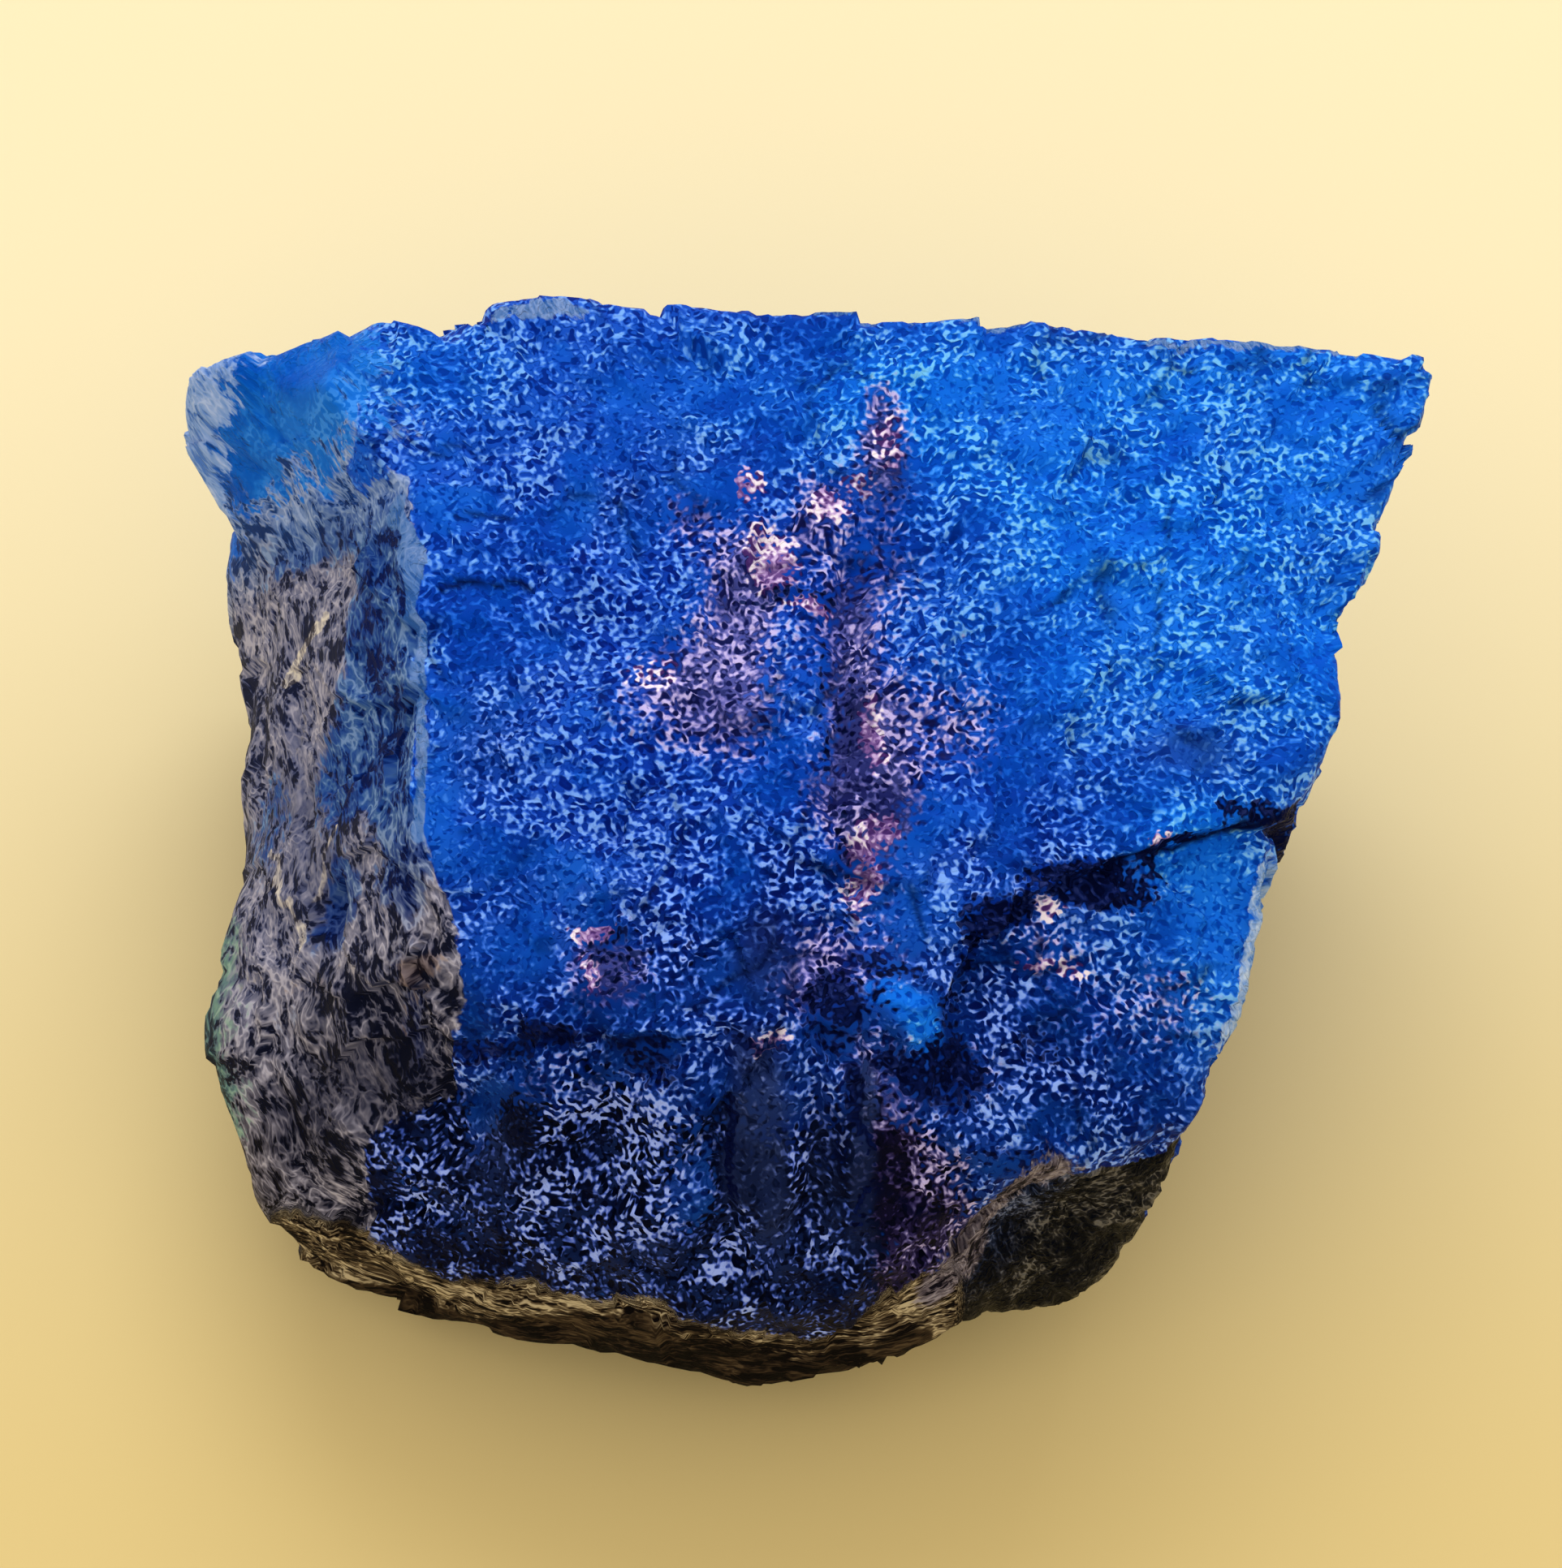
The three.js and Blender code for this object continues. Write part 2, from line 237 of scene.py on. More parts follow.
# Bilinear blend of the four wrap corners at (a, b) from -1 to 1, spread by the ring and lifted or
# lowered as the ring leaves the lid.
def wrapArms(a, b, up):
    rim = np.maximum(abs(a), abs(b))
    spread = 1 / np.maximum(rim, stone["lidShare"])
    rise = np.clip((1 - rim) / (1 - stone["lidShare"]), 0, 1)
    narrow = 1 - (0 if up > 0 else stone["drawIn"]) * rise
    right, back = (1 + a * spread) / 2, (1 + b * spread) / 2
    fl, fr, bl, br = (np.array(c, float) for c in stone["wrapCorners"])
    right, back = right[..., None], back[..., None]
    plan = (1 - back) * ((1 - right) * fl + right * fr) + back * ((1 - right) * bl + right * br)
    return np.concatenate([plan * narrow[..., None], (stone["wrapHeight"] * rise * up)[..., None]], -1)


# Sum of push * exp(-(distance / radius)^2) over the lumps.
def lumpHeight(p):
    total = 0
    for place, radius, push in stone["lumps"].values():
        total = total + push * np.exp(-((p - np.array(place)) ** 2).sum(-1) / radius ** 2)
    return total


# Each ledge: minus drop, eased in over the ramp and out over the fade, to the left of its path.
# Each groove: minus depth * exp(-(distance / half width)^2). Both only on the top.
def carvedHeight(p):
    top = ease((p[..., 2] - stone["core"][2]) / 4)
    wander = p + 0.35 * np.stack([smoothNoise(p / 0.9, 61), smoothNoise(p / 0.9, 62), 0 * p[..., 2]], -1)
    total = 0
    for path, drop, ramp, fade in stone["ledges"].values():
        distance, side = pathDistance(path, wander)
        inFront = np.where(side > 0, distance, 0)
        total = total - drop * ease(inFront / ramp) * ease(1 - inFront / fade)
    for path, depth, halfWidth in stone["grooves"].values():
        total = total - depth * np.exp(-(pathDistance(path, wander)[0] / halfWidth) ** 2)
    return total * top


# Skin point = core + arm * scale, then pushed out along the arm by the sum of all heights.
def skinPoints(arms):
    core = np.array(stone["core"])
    scale = np.maximum(armScale(arms, stone["mainFaces"]), armScale(arms, stone["cornerFaces"]))
    ground = core + arms * scale[..., None]
    outward = (ground - core) / np.linalg.norm(ground - core, axis=-1, keepdims=True)
    height = lumpHeight(ground) + carvedHeight(ground) + chips(ground, *stone["chips"], 11)[0]
    for n, (size, rise) in enumerate(stone["swells"]):
        height = height + rise * smoothNoise(ground / size, n + 1)
    return ground, ground + outward * height[..., None]


# Facing of the skin = face normals blended by their shares.
def skinNormals(shares):
    normals = faceTable(stone["mainFaces"])[0]
    blend = sum(share[..., None] * normal for share, normal in zip(shares.values(), normals))
    return blend / np.linalg.norm(blend, axis=-1, keepdims=True)


# Where each kind of surface lies: place seen from above, radius along x and y, strength.
patches = {
    "azure": (
        (20.5, 9, 5, 6, 0.9), (15, 8.5, 8.5, 6.5, 1), (18.5, 3, 4.5, 4, 0.8), (7, 11, 5, 3.5, 0.8),
        (0, 12.5, 7, 3, 0.65), (9, 1, 4, 4, 0.4), (13.5, 4.5, 4, 5, 0.5), (-11, 3, 2.2, 7, 0.3),
        (-13.5, 13.5, 3.5, 2.5, 0.7), (-10.5, -7, 2, 2, 0.2), (15.3, -7.8, 3.2, 4.8, 1),
        (14.2, -4.6, 2.6, 1.4, 0.6), (4.6, -8, 2.2, 1.5, 0.35), (12, 3, 3, 3, 0.3),
        (22.5, 12.5, 5, 5, 1), (9.8, -14.6, 2.4, 0.8, 0.35), (9.6, -8.9, 1.2, 0.8, 0.45),
    ),
    "rose": (
        (-3.2, 0.4, 3, 2.6, 0.62), (-1.2, 4.8, 2, 2.6, 0.75), (-3.6, 7.4, 1.4, 1.5, 0.45),
        (1.3, 7.6, 1.2, 1.9, 0.6), (3.8, 10.4, 1.3, 2.4, 0.75), (3.2, -3.4, 1.6, 3.8, 0.8),
        (2.4, 2.6, 1.3, 3, 0.55), (6.2, -0.4, 3, 2.2, 0.42), (-6.3, -10.4, 2, 1.6, 0.55),
        (9.2, -8.4, 2, 1.4, 0.4), (12.6, -6.3, 1.8, 1, 0.5), (1.2, -10.4, 1.8, 2.6, 0.7),
        (6.3, -13.4, 2.2, 1.5, 0.5), (3.4, -14.8, 1.6, 2.8, 0.5), (-7, -3, 4, 4, 0.15),
        (6, 4, 4, 3, 0.25), (14, -9.5, 1.6, 1.6, 0.3), (-8.5, -13.4, 2.4, 0.8, 0.4),
        (3.9, 6.2, 1.4, 2.4, 0.3), (-1.4, 1, 1.8, 2.4, 0.2), (-1.4, -1.6, 1.6, 2, 0.2),
        (-6, -9, 1.8, 2.2, 0.2), (11.6, -10.8, 3.2, 2.6, 0.35), (1.3, -3.6, 1.4, 2.4, 0.3),
        (4, -9.4, 1.4, 1.8, 0.3), (6.4, -2.2, 1.6, 1.8, 0.2),
    ),
    "blush": (
        (-1, 8.4, 0.5, 0.6, 0.9), (1.6, 7.4, 0.8, 0.7, 0.8), (2.8, 8.6, 0.6, 0.5, 0.7),
        (4, 10.4, 0.6, 1.2, 0.7), (-0.3, 5.4, 1.1, 1.3, 1), (1, 3.7, 0.8, 0.3, 0.9),
        (3.3, -1.2, 0.5, 1.4, 0.9), (3.2, -5, 0.7, 0.9, 0.9), (2.9, -6.8, 0.5, 1.3, 0.9),
        (-6.8, -8.7, 0.9, 0.35, 1), (-6.8, -10.4, 0.5, 0.7, 0.9), (9.6, -7.4, 0.6, 0.4, 0.8),
        (13.3, -5, 0.5, 0.35, 1), (6.6, -13.3, 0.8, 0.4, 0.7), (-0.4, -12.7, 0.8, 0.35, 0.8),
        (-4.4, 1, 1, 0.8, 0.5), (9.8, -9.4, 1.2, 0.3, 0.7),
    ),
    "flake": ((3.6, -10.6, 1, 0.65, 0.85), (4.6, -11.2, 1, 0.8, 0.85), (5, -12.1, 0.7, 0.8, 0.85)),
    "bare": (
        (-10.2, 4.6, 1.2, 1.4, 0.4), (-11.4, 7.6, 1.6, 0.7, 0.7), (-7.4, 8, 0.9, 1.8, 0.7),
        (-2.6, 12.4, 1.8, 0.8, 0.7), (13.6, 7, 1.4, 1.2, 0.7), (16.6, 4.4, 1.2, 0.9, 0.7),
        (11.8, 6, 1.2, 0.7, 0.6), (9.4, 9.4, 1.6, 0.8, 0.5), (4.6, -4.6, 1.2, 1.4, 0.6),
        (15.6, -7.8, 1.2, 2, 0.2), (-7.2, -7.2, 0.9, 1.1, 0.7), (-9.2, -9.8, 1, 1.2, 0.6),
        (9.4, -14.2, 1.6, 0.7, 0.8), (21.4, 11, 1.8, 2.4, 0.4),
    ),
    "clear": ((-3, -16.3, 0.8, 1, 0.9), (-10.8, -13.5, 1, 1.3, 0.9), (-13.4, -15, 0.5, 0.6, 0.4)),
    "sparkle": (
        (-4.6, -16.3, 1.4, 1.2, 1), (-8.5, -16.5, 0.7, 1, 0.7), (-8.2, -14.7, 0.8, 0.7, 0.45),
        (-1.9, -18.6, 1.2, 0.5, 1), (-1.5, -17, 0.6, 0.4, 0.7), (-5.6, -14.3, 2.2, 0.8, 0.4),
        (5.3, -18, 1.1, 0.6, 0.7), (5, -16.4, 0.9, 0.8, 0.5), (1, -15.4, 1, 2.2, 0.7),
        (1.2, -17.6, 0.8, 0.8, 0.4), (-12.9, -15, 0.7, 0.6, 0.5), (-13.7, -16, 0.7, 0.5, 0.6),
        (6.4, -14.6, 1, 0.8, 0.5), (12, -14.2, 2, 0.5, 0.6),
    ),
    "shadow": (
        (10.8, -6.4, 2.8, 0.8, 1.3), (7.2, -8, 1.2, 1, 1), (6.9, -9.8, 0.8, 1.1, 0.7),
        (3.6, -9.7, 1.6, 0.35, 0.8), (1.6, -12, 1.2, 1.5, 0.65), (6, -11.6, 0.8, 1.1, 0.55),
        (16.4, -3.6, 1.6, 0.4, 1), (-9.6, -13, 1.6, 0.8, 0.3), (-4.6, -13.2, 1.4, 0.7, 0.6),
        (-3.2, -9.4, 1.2, 1.2, 0.3), (9.2, -12, 1, 0.8, 0.5), (-12.6, -14, 1.2, 0.5, 0.3),
        (2.4, -0.5, 0.5, 2.2, 0.5), (-5.9, -9.7, 1.3, 1.5, 0.6), (2.6, -11, 1.6, 0.9, 0.5),
        (4.5, -13.4, 1.6, 0.6, 0.8), (0.3, 4, 2.2, 0.4, 0.6), (8.6, -15.6, 2.6, 0.7, 0.5),
        (-11.2, -15.4, 2, 0.9, 0.6), (6, -13.8, 1.4, 0.8, 0.7),
    ),
    "lit": (
        (21.2, 9.6, 3.4, 6, 1.2), (17.6, 4, 3, 3.4, 0.6), (14.6, -6.2, 2, 1.8, 0.5),
        (8.6, 10.2, 2.6, 2.6, 0.5), (0, 12.4, 3.4, 2, 0.5), (15.4, -9, 2, 2.6, 0.7),
    ),
    "rich": (
        (-6, -7, 1.6, 2.4, 0.7), (-3.4, -4.6, 2.4, 2, 0.5), (5, 7.8, 1.6, 2.6, 0.8),
        (12.4, 8, 2.4, 2, 0.6), (19.5, 7.6, 2.6, 2.6, 0.5), (-2.8, 6.6, 0.9, 1.2, 0.7),
        (1, 5.4, 0.9, 1.6, 0.7), (-3, 3.2, 0.9, 2, 0.5), (12.4, -12, 1.4, 1.4, 0.5),
        (3.6, -13.2, 1.6, 0.9, 0.5),
    ),
    "subdued": (
        (-9.6, -8.6, 2.2, 1.5, 0.6), (-6.8, -11.6, 2.6, 0.6, 0.5), (-10.2, -1.4, 1.8, 2.4, 0.8),
        (-5.9, 7.6, 1.5, 1.3, 0.5), (-3.3, 10.2, 1.3, 1.2, 0.5), (16.4, 1.5, 1.2, 1, 0.9),
        (10.8, -11.4, 3.2, 2.4, 0.1), (-10.6, -15.3, 1.4, 1.4, 0.8), (3.2, -1.2, 0.9, 2, 0.4),
        (-4.6, -6, 1.4, 1.4, 0.3),
    ),
    "dull": (
        (-0.9, -14.6, 1.1, 2.4, 1), (-0.2, -17.4, 0.6, 1.5, 0.9), (2.9, -15.2, 0.4, 2.4, 1),
        (2.9, -18.2, 0.5, 1.6, 1), (-0.5, -9.4, 1.2, 1.7, 0.7), (-4.8, -17.9, 1.3, 0.5, 1),
        (-1.7, -16.4, 0.3, 1.4, 0.8), (3.6, 8.6, 1.6, 0.8, 0.4), (14.2, -1.6, 2, 1, 0.4),
        (-10.6, -15.3, 1.3, 1.3, 0.6), (1.5, -16.6, 0.7, 2.4, 0.45),
    ),
    "pearl": (
        (-8.8, 15.3, 1.8, 0.3, 1), (9, 15, 5, 0.2, 0.9), (17, 14.2, 4.5, 0.25, 0.9),
        (2, 15.3, 2.5, 0.2, 0.7), (-14.9, 13.2, 1.1, 2.2, 0.42), (-13.6, 11, 0.8, 1.6, 0.4),
    ),
    "lagoon": (
        (-14.2, 3.4, 1.5, 5.4, 1), (-15.4, 9, 2.4, 1.8, 0.7), (-15.9, -5.6, 1, 1.7, 1),
        (-15.4, -0.6, 1.6, 2.8, 0.85), (-19.2, -0.4, 1.4, 2.6, 0.55), (-13.3, -4.6, 1.1, 3.6, 1),
        (-18.2, 9.4, 1.6, 1.2, 0.5), (-13, 1, 1, 5, 1), (-13.2, -10.6, 0.6, 2, 0.6),
        (-17.6, -9, 0.9, 1.6, 0.35),
    ),
    "bandShade": (
        (-17, -0.8, 1.3, 2.2, 0.8), (-16.4, -4.6, 1.2, 2.4, 0.8), (-18.6, 0.5, 0.9, 1.6, 0.7),
        (-15.6, -11.8, 1.8, 1.6, 0.9), (-18.2, -12.6, 1.6, 1.6, 0.5), (-14.6, 6.4, 1.2, 1.4, 0.5),
        (-16.8, 8.6, 1.6, 0.7, 0.5), (-13.4, -12.4, 1.4, 1.2, 0.9),
    ),
    "teal": ((-21.4, -5.8, 2.3, 3.4, 1), (-20.4, -10.8, 1.9, 2.4, 0.7)),
    "rust": (
        (-12.7, -9.3, 0.7, 0.8, 0.8), (-16.8, -7.8, 1.4, 0.6, 0.4), (-13.6, -11, 0.7, 1.6, 0.35),
        (-19, -6.4, 1, 0.8, 0.3),
    ),
}


# Lines of painted shade under the ledges and in the grooves and cracks: path seen from above, half width,
# strength.
shadeLines = {
    "crack": (((19.2, -3.1), (18.1, -3.4), (15.4, -4.4), (13.6, -5.1)), 0.26, 1.0),
    "ledgeShade": (((13.4, -5.6), (12.4, -6.1), (10.4, -6.7), (8.8, -7.2)), 0.75, 1.1),
    "ledgeDrop": (((8.8, -7.2), (7.5, -8.4), (6.9, -10.0)), 0.5, 0.9),
    "underFlake": (((6.3, -10.9), (5.6, -12.5), (4.0, -13.1)), 0.5, 0.8),
    "breakShade": (((-12.0, -12.1), (-9.7, -12.4), (-7.4, -12.7), (-2.3, -12.9), (-0.1, -13.0)), 0.3, 0.6),
    "grooveShade": (((1.4, 3.4), (2.0, -1.0), (2.0, -3.4), (2.6, -6.0), (2.2, -8.8)), 0.2, 0.5),
    "byBreak": (((4.6, -13.0), (6.0, -13.4), (7.6, -13.2)), 0.7, 0.8),
    "frontCrack": (((2.8, -13.6), (2.8, -16.0), (2.9, -19.2)), 0.26, 0.8),
    "ribShade": (((-1.9, -14.4), (-1.7, -16.2), (-1.9, -18.2)), 0.2, 0.8),
}
thinLines = {
    "crackEnd": (((19.4, -3.0), (18.1, -3.4), (15.4, -4.4), (13.6, -5.1), (11.9, -5.9)), 0.2, 1.0),
    "sideCrack": (((-11.8, 4.4), (-10.4, 4.5), (-9.2, 4.6)), 0.12, 0.9),
    "sideCrackUpper": (((-11.6, 7.0), (-10.6, 7.15), (-9.8, 7.0)), 0.11, 0.7),
    "wingLine": (((13.6, 7.8), (13.3, 4.6), (13.2, 1.7)), 0.09, 0.6),
    "frontWander": (((-9.6, -12.2), (-7.0, -12.6), (-3.0, -12.7)), 0.14, 0.8),
}
paleLines = {
    "ribbon": (((-13.5, 7.7), (-13.1, 6.2), (-12.9, 3.9)), 0.38, 1.0),
    "ribbonLower": (((-12.9, 3.4), (-12.9, 1.0), (-12.7, -1.6), (-12.8, -5.0)), 0.32, 0.9),
}
creamLines = {
    "streak": (((-18.4, 4.5), (-17.5, 5.1), (-16.7, 5.7)), 0.26, 1.2),
    "longStrand": (((-18.6, -1.8), (-17.8, -4.0), (-17.0, -6.4)), 0.16, 0.7),
    "lowStrand": (((-15.2, -1.6), (-16.9, -4.6)), 0.14, 0.6),
}


# Heights over the front, as (x, z) turning points.
frontLines = {
    "crustTop": (
        (-17.1, 9.6), (-13.8, 10.0), (-12.1, 9.0), (-10.8, 9.7), (-7.9, 10.2), (-4.1, 11.9),
        (-2.9, 11.5), (-0.7, 9.5), (0.8, 8.4), (2.3, 10.0), (3.4, 11.4), (5.1, 12.1), (6.2, 11.0),
    ),
    "crustLow": (
        (-16, 4.0), (-12.6, 4.4), (-10.3, 5.9), (-7.9, 8.0), (-5.0, 9.9), (-2.8, 8.1), (0.8, 5.3),
        (2.3, 6.5), (5.2, 7.8),
    ),
    "facetTop": (
        (5.6, 10.4), (7.3, 11.5), (8.2, 13.3), (9.3, 14.5), (11.5, 14.2), (13.5, 13.2), (16, 12.5),
    ),
}


# Where each zone of the surface starts along the value it is read from, and how soft its rim is, in mm.
# A mirrored name, such as left or front, is read from -x or -y.
zones = {
    "topRim": (12, 4),
    "cornerLeft": (13.2, 3.6), "cornerBack": (8.6, 4.2),
    "tipLeft": (19.6, 1.6), "tipBack": (9.0, 1.6),
    "bandSlopeLeft": (11.6, 1.2), "bandShare": (0.36, 0.28),
    "bandFrontRight": (-15.3, 0.8), "bandFrontFront": (13.1, 0.7), "bandBack": (12.0, 2.4),
    "bandPlateauBack": (8.4, 1.4), "bandPlateauRight": (-15.6, 1.0),
    "mistBack": (8.0, 3.5), "duskFront": (1.8, 10), "duskLow": (-14, 8),
    "crustFront": (13.9, 0.8), "crustLeft": (-7.0, 0.8), "lineDown": (0, 0.6),
    "undersideShadeShare": (0.35, 0.4), "undersideShadeFront": (13.0, 0.8), "undersideShadeDown": (-0.5, 0.6),
    "nightDown": (-19.0, 3.5), "nightFront": (11, 3), "nightLeft": (-7.5, 5.0),
    "plumRight": (2.0, 2.5), "dimFront": (1.5, 13),
    "facetRight": (5.0, 0.8), "facetShare": (0.3, 0.2),
    "facetBlueLeft": (-10.4, 2.5), "facetBlueUp": (7.5, 3),
    "fuzzRight": (4.0, 2), "fuzzLeft": (-11.4, 2), "fuzzFront": (14.2, 0.8),
    "sliverShare": (0.3, 0.16), "sliverUp": (12.6, 4), "sliverBack": (-12.6, 3), "sliverFront": (3.6, 2.4),
    "wallUp": (7, 4), "pearlUp": (18.2, 1.5), "tealDown": (-14.4, 3),
}


# 0 up to the zone's edge and 1 from a rim's width past it, eased between.
def past(name, value):
    edge, rim = zones[name]
    return ease((value - edge) / rim)


# How much of the skin belongs to the named faces together.
def shareOf(share, *faces):
    return sum(share[face] for face in faces)


# Three noises side by side, to sway a place along x, y and z.
def sway(p, size, octaves, salt, step=1):
    return np.stack([fractalNoise(p, size, octaves, salt + step * a) for a in range(3)], -1)


# Straight runs between the turning points.
def frontLine(name, x):
    return np.interp(x, *zip(*frontLines[name]))


# Sum of strength * exp(-q^edge), q = ((x - a) / rx)^2 + ((y - b) / ry)^2, held at 1; a larger edge is
# crisper.
def patchMask(name, p, edge=1):
    total = 0
    for a, b, rx, ry, strength in patches[name]:
        away = ((p[..., 0] - a) / rx) ** 2 + ((p[..., 1] - b) / ry) ** 2
        total = total + strength * np.exp(-away ** edge)
    return np.clip(total, 0, 1)


# Most of strength * exp(-(distance / half width)^4) over the lines.
def lineMask(lines, p):
    most = 0
    for path, halfWidth, strength in lines.values():
        most = np.maximum(most, strength * np.exp(-(pathDistance(path, p)[0] / halfWidth) ** 4))
    return np.minimum(most, 1)


# Band: the shares of the left faces, less where the front, the corner and the plateau begin.
# Corner: where the stone reaches far left and back; its tip lies farther out still.
def leftMasks(place, wander, share, ragged):
    x, y, z = place
    left = shareOf(share, "leftBand", "leftBandLower", "leftWall", "leftUndercut", "bottomLeftWall")
    left = left + share["bottomLeftSlope"] * past("bandSlopeLeft", -x) + 0.6 * share["leftCornerBevel"]
    band = past("bandShare", left + 0.12 * ragged)
    band = band * (1 - past("bandFrontRight", x + 0.4 * ragged) * past("bandFrontFront", -y + 0.3 * ragged))
    band = band * (1 - past("bandBack", y + 0.35 * (x + 16) + 0.3 * ragged))
    onPlateau = past("bandPlateauBack", y + 0.4 * ragged) * past("bandPlateauRight", x + 0.4 * ragged)
    onWall = past("wallUp", z)
    return {
        "band": band * (1 - onPlateau),
        "bandShade": patchMask("bandShade", wander),
        "corner": past("cornerLeft", -x + 0.8 * ragged)
                  * past("cornerBack", y + 0.25 * (x + 18) - 0.5 * ragged),
        "tip": past("tipLeft", -x + 0.25 * (z - 16) + 0.4 * ragged) * past("tipBack", y),
        "mist": 0.85 * past("mistBack", y + 0.3 * (x + 18) + 0.9 * ragged),
        "dusk": past("duskFront", -y + 1.2 * ragged) * (0.75 + 0.25 * past("duskLow", -z)),
        "pearl": patchMask("pearl", wander, 2) * past("pearlUp", z),
        "lagoon": patchMask("lagoon", wander, 2) * onWall,
        "rust": patchMask("rust", wander) * onWall,
        "teal": patchMask("teal", wander) * past("tealDown", -z),
        "ribbon": lineMask(paleLines, wander),
        "cream": lineMask(creamLines, wander) * onWall,
    }


# Crust: the front below its upper line, tan fibres partly painted with the floor's reflection. Underside
# shade: the undercut faces and the front below the crust's lower line, painted dark brown as shade.
# Facet: the broken low faces at the right, below their own line, with fuzz along it.
# Sliver: the steep right faces under the crack.
def lowMasks(place, share, ragged):
    x, y, z = place
    crustLow = frontLine("crustLow", x) + 0.7 * ragged
    facetTop = frontLine("facetTop", x) + 0.3 * ragged
    crust = past("lineDown", frontLine("crustTop", x) - z + 0.6 * ragged)
    crust = crust * past("crustFront", -y + 0.3 * ragged) * past("crustLeft", -x)
    below = shareOf(share, "frontUndercut", "frontRightUndercut", "underside")
    below = below + shareOf(share, "backUndercut", "rightUndercut", "leftUndercut")
    front = past("undersideShadeDown", crustLow - z) * past("undersideShadeFront", -y + 0.3 * ragged) * past("crustLeft", -x)
    facet = share["frontRightFacet"] * past("facetRight", x - ragged) + share["rightLowWall"]
    facet = past("facetShare", facet + 0.8 * share["frontRightUndercut"] + 0.08 * ragged)
    facet = facet * past("lineDown", facetTop - z)
    fuzz = np.exp(-((z - facetTop + 0.1) / 1.5) ** 2) * past("fuzzRight", x) * past("fuzzLeft", -x)
    sliver = past("sliverShare", share["rightWall"] + share["rightLowWall"]) * past("sliverUp", z)
    return {
        "crust": crust,
        # painted shade on the undercut faces and the low front
        "earth": np.maximum(past("undersideShadeShare", below + 0.2 * ragged), front) * (1 - facet),
        "facet": facet,
        "facetBlue": past("facetBlueLeft", -x + 0.8 * ragged + 0.5 * (z - 11)) * past("facetBlueUp", z),
        "fuzz": fuzz * past("fuzzFront", -y),
        "sliver": sliver * past("sliverBack", y) * past("sliverFront", -y),
    }


# Night: low at the front, its dark matrix with painted shade, as the front faces away from the light;
# there the cover follows the painted glitter of glints. Dim is the same painted shade towards the front,
# with darker patches. Cover is how thickly the curls lie and tone how light the bare ground is: each a
# mean plus noise and the chips' own shades, moved by the patches. The rest are patches and lines on the
# top.
def crystalMasks(ground, place, wander, shades, ragged):
    x, y, z = place
    top = past("topRim", z)
    azure, subdued = patchMask("azure", wander), patchMask("subdued", wander)
    flake = patchMask("flake", wander, 4)
    notAzure = (1 - 0.75 * patchMask("azure", ground)) * (1 - flake)
    night = past("nightDown", -z + 1.2 * ragged) * past("nightFront", -y)
    night = night * past("nightLeft", -x + 1.6 * ragged - 0.4 * (y + 15))
    glitter = 0.36 + 0.55 * fractalNoise(ground, 1.3, 2, 57) + 0.65 * patchMask("sparkle", wander)
    cover = 0.73 + 0.5 * fractalNoise(ground, 2.0, 3, 51) + 0.5 * (shades["small"] - 0.5)
    cover = cover - 0.6 * subdued + 0.4 * patchMask("rich", wander)
    cover = cover + night * (glitter - cover)
    cover = cover - 0.14 * patchMask("azure", ground) - 0.75 * patchMask("bare", wander, 2)
    tone = 0.5 + 0.45 * fractalNoise(ground, 4.0, 3, 55) + 0.45 * (shades["large"] - 0.5)
    tone = tone + 0.5 * (shades["small"] - 0.5) + 0.68 * patchMask("lit", wander)
    night = night * (1 - patchMask("clear", wander, 2))
    broken = 0.3 + 0.7 * ease(0.7 + 1.2 * fractalNoise(ground, 1.6, 2, 67))
    # painted shade along the ledges, grooves and cracks, broken up
    shadeLine = lineMask(shadeLines, ground + 0.55 * sway(ground, 2.0, 2, 62, 2)) * broken
    cellEdge = 0.7 * np.exp(-(shades["edge"] / 0.045) ** 2) * ease(0.4 + fractalNoise(ground, 2.4, 2, 97))
    return {
        "night": night,
        "plum": night * past("plumRight", x + 0.8 * ragged),
        "azure": np.maximum(azure * (0.7 + 0.3 * ease(0.5 + 0.6 * ragged)), flake) * top,
        "rose": patchMask("rose", wander) * top,
        "blush": patchMask("blush", wander, 2) * top,
        "dim": np.maximum(past("dimFront", -y + 2.5 * ragged), 0.8 * subdued) * notAzure,
        "shadow": np.maximum(0.8 * patchMask("shadow", wander, 2), shadeLine) * top,
        "seam": np.maximum(lineMask(thinLines, wander), cellEdge) * top,
        "dull": patchMask("dull", wander, 2) * top,
        "cover": ease(cover),
        "tone": ease(tone),
    }


# Every mask is a share of faces or a sum of patches, roughened with noise so its rim is ragged.
def surfaceMasks(ground, share, shades):
    place = np.moveaxis(ground, -1, 0)
    ragged = fractalNoise(ground, 3.2, 3, 41)
    wander = ground + 0.3 * sway(ground, 0.8, 1, 44)
    return {
        **leftMasks(place, wander, share, ragged),
        **lowMasks(place, share, ragged),
        **crystalMasks(ground, place, wander, shades, ragged),
    }


# Way along and across the fibres: along the band they run front to back, slanting at the corner; on
# the crust they run left to right.
def fibreCoords(ground, masks):
    y = ground[..., 1]
    slant = 0.22 * y + 0.04 * np.clip(y - 6, 0, 8) ** 2
    slanted = np.stack([slant * (1 - masks["crust"]), 0 * y, 0 * y], -1)
    wandered = ground + 0.55 * sway(ground, 2.6, 2, 71, 3) + slanted
    onCrust = ease((masks["crust"] - 0.35) / 0.3)[..., None]
    return wandered * (1 - onCrust) * (2.0, 1.0, 1.8) + wandered * onCrust * (0.75, 1.8, 3.0)


# Place in mm, swayed by noise: cut along it, the grains come out as curls and not as round spots.
def grainCoords(ground):
    return ground + 0.16 * sway(ground, 0.7, 1, 91)


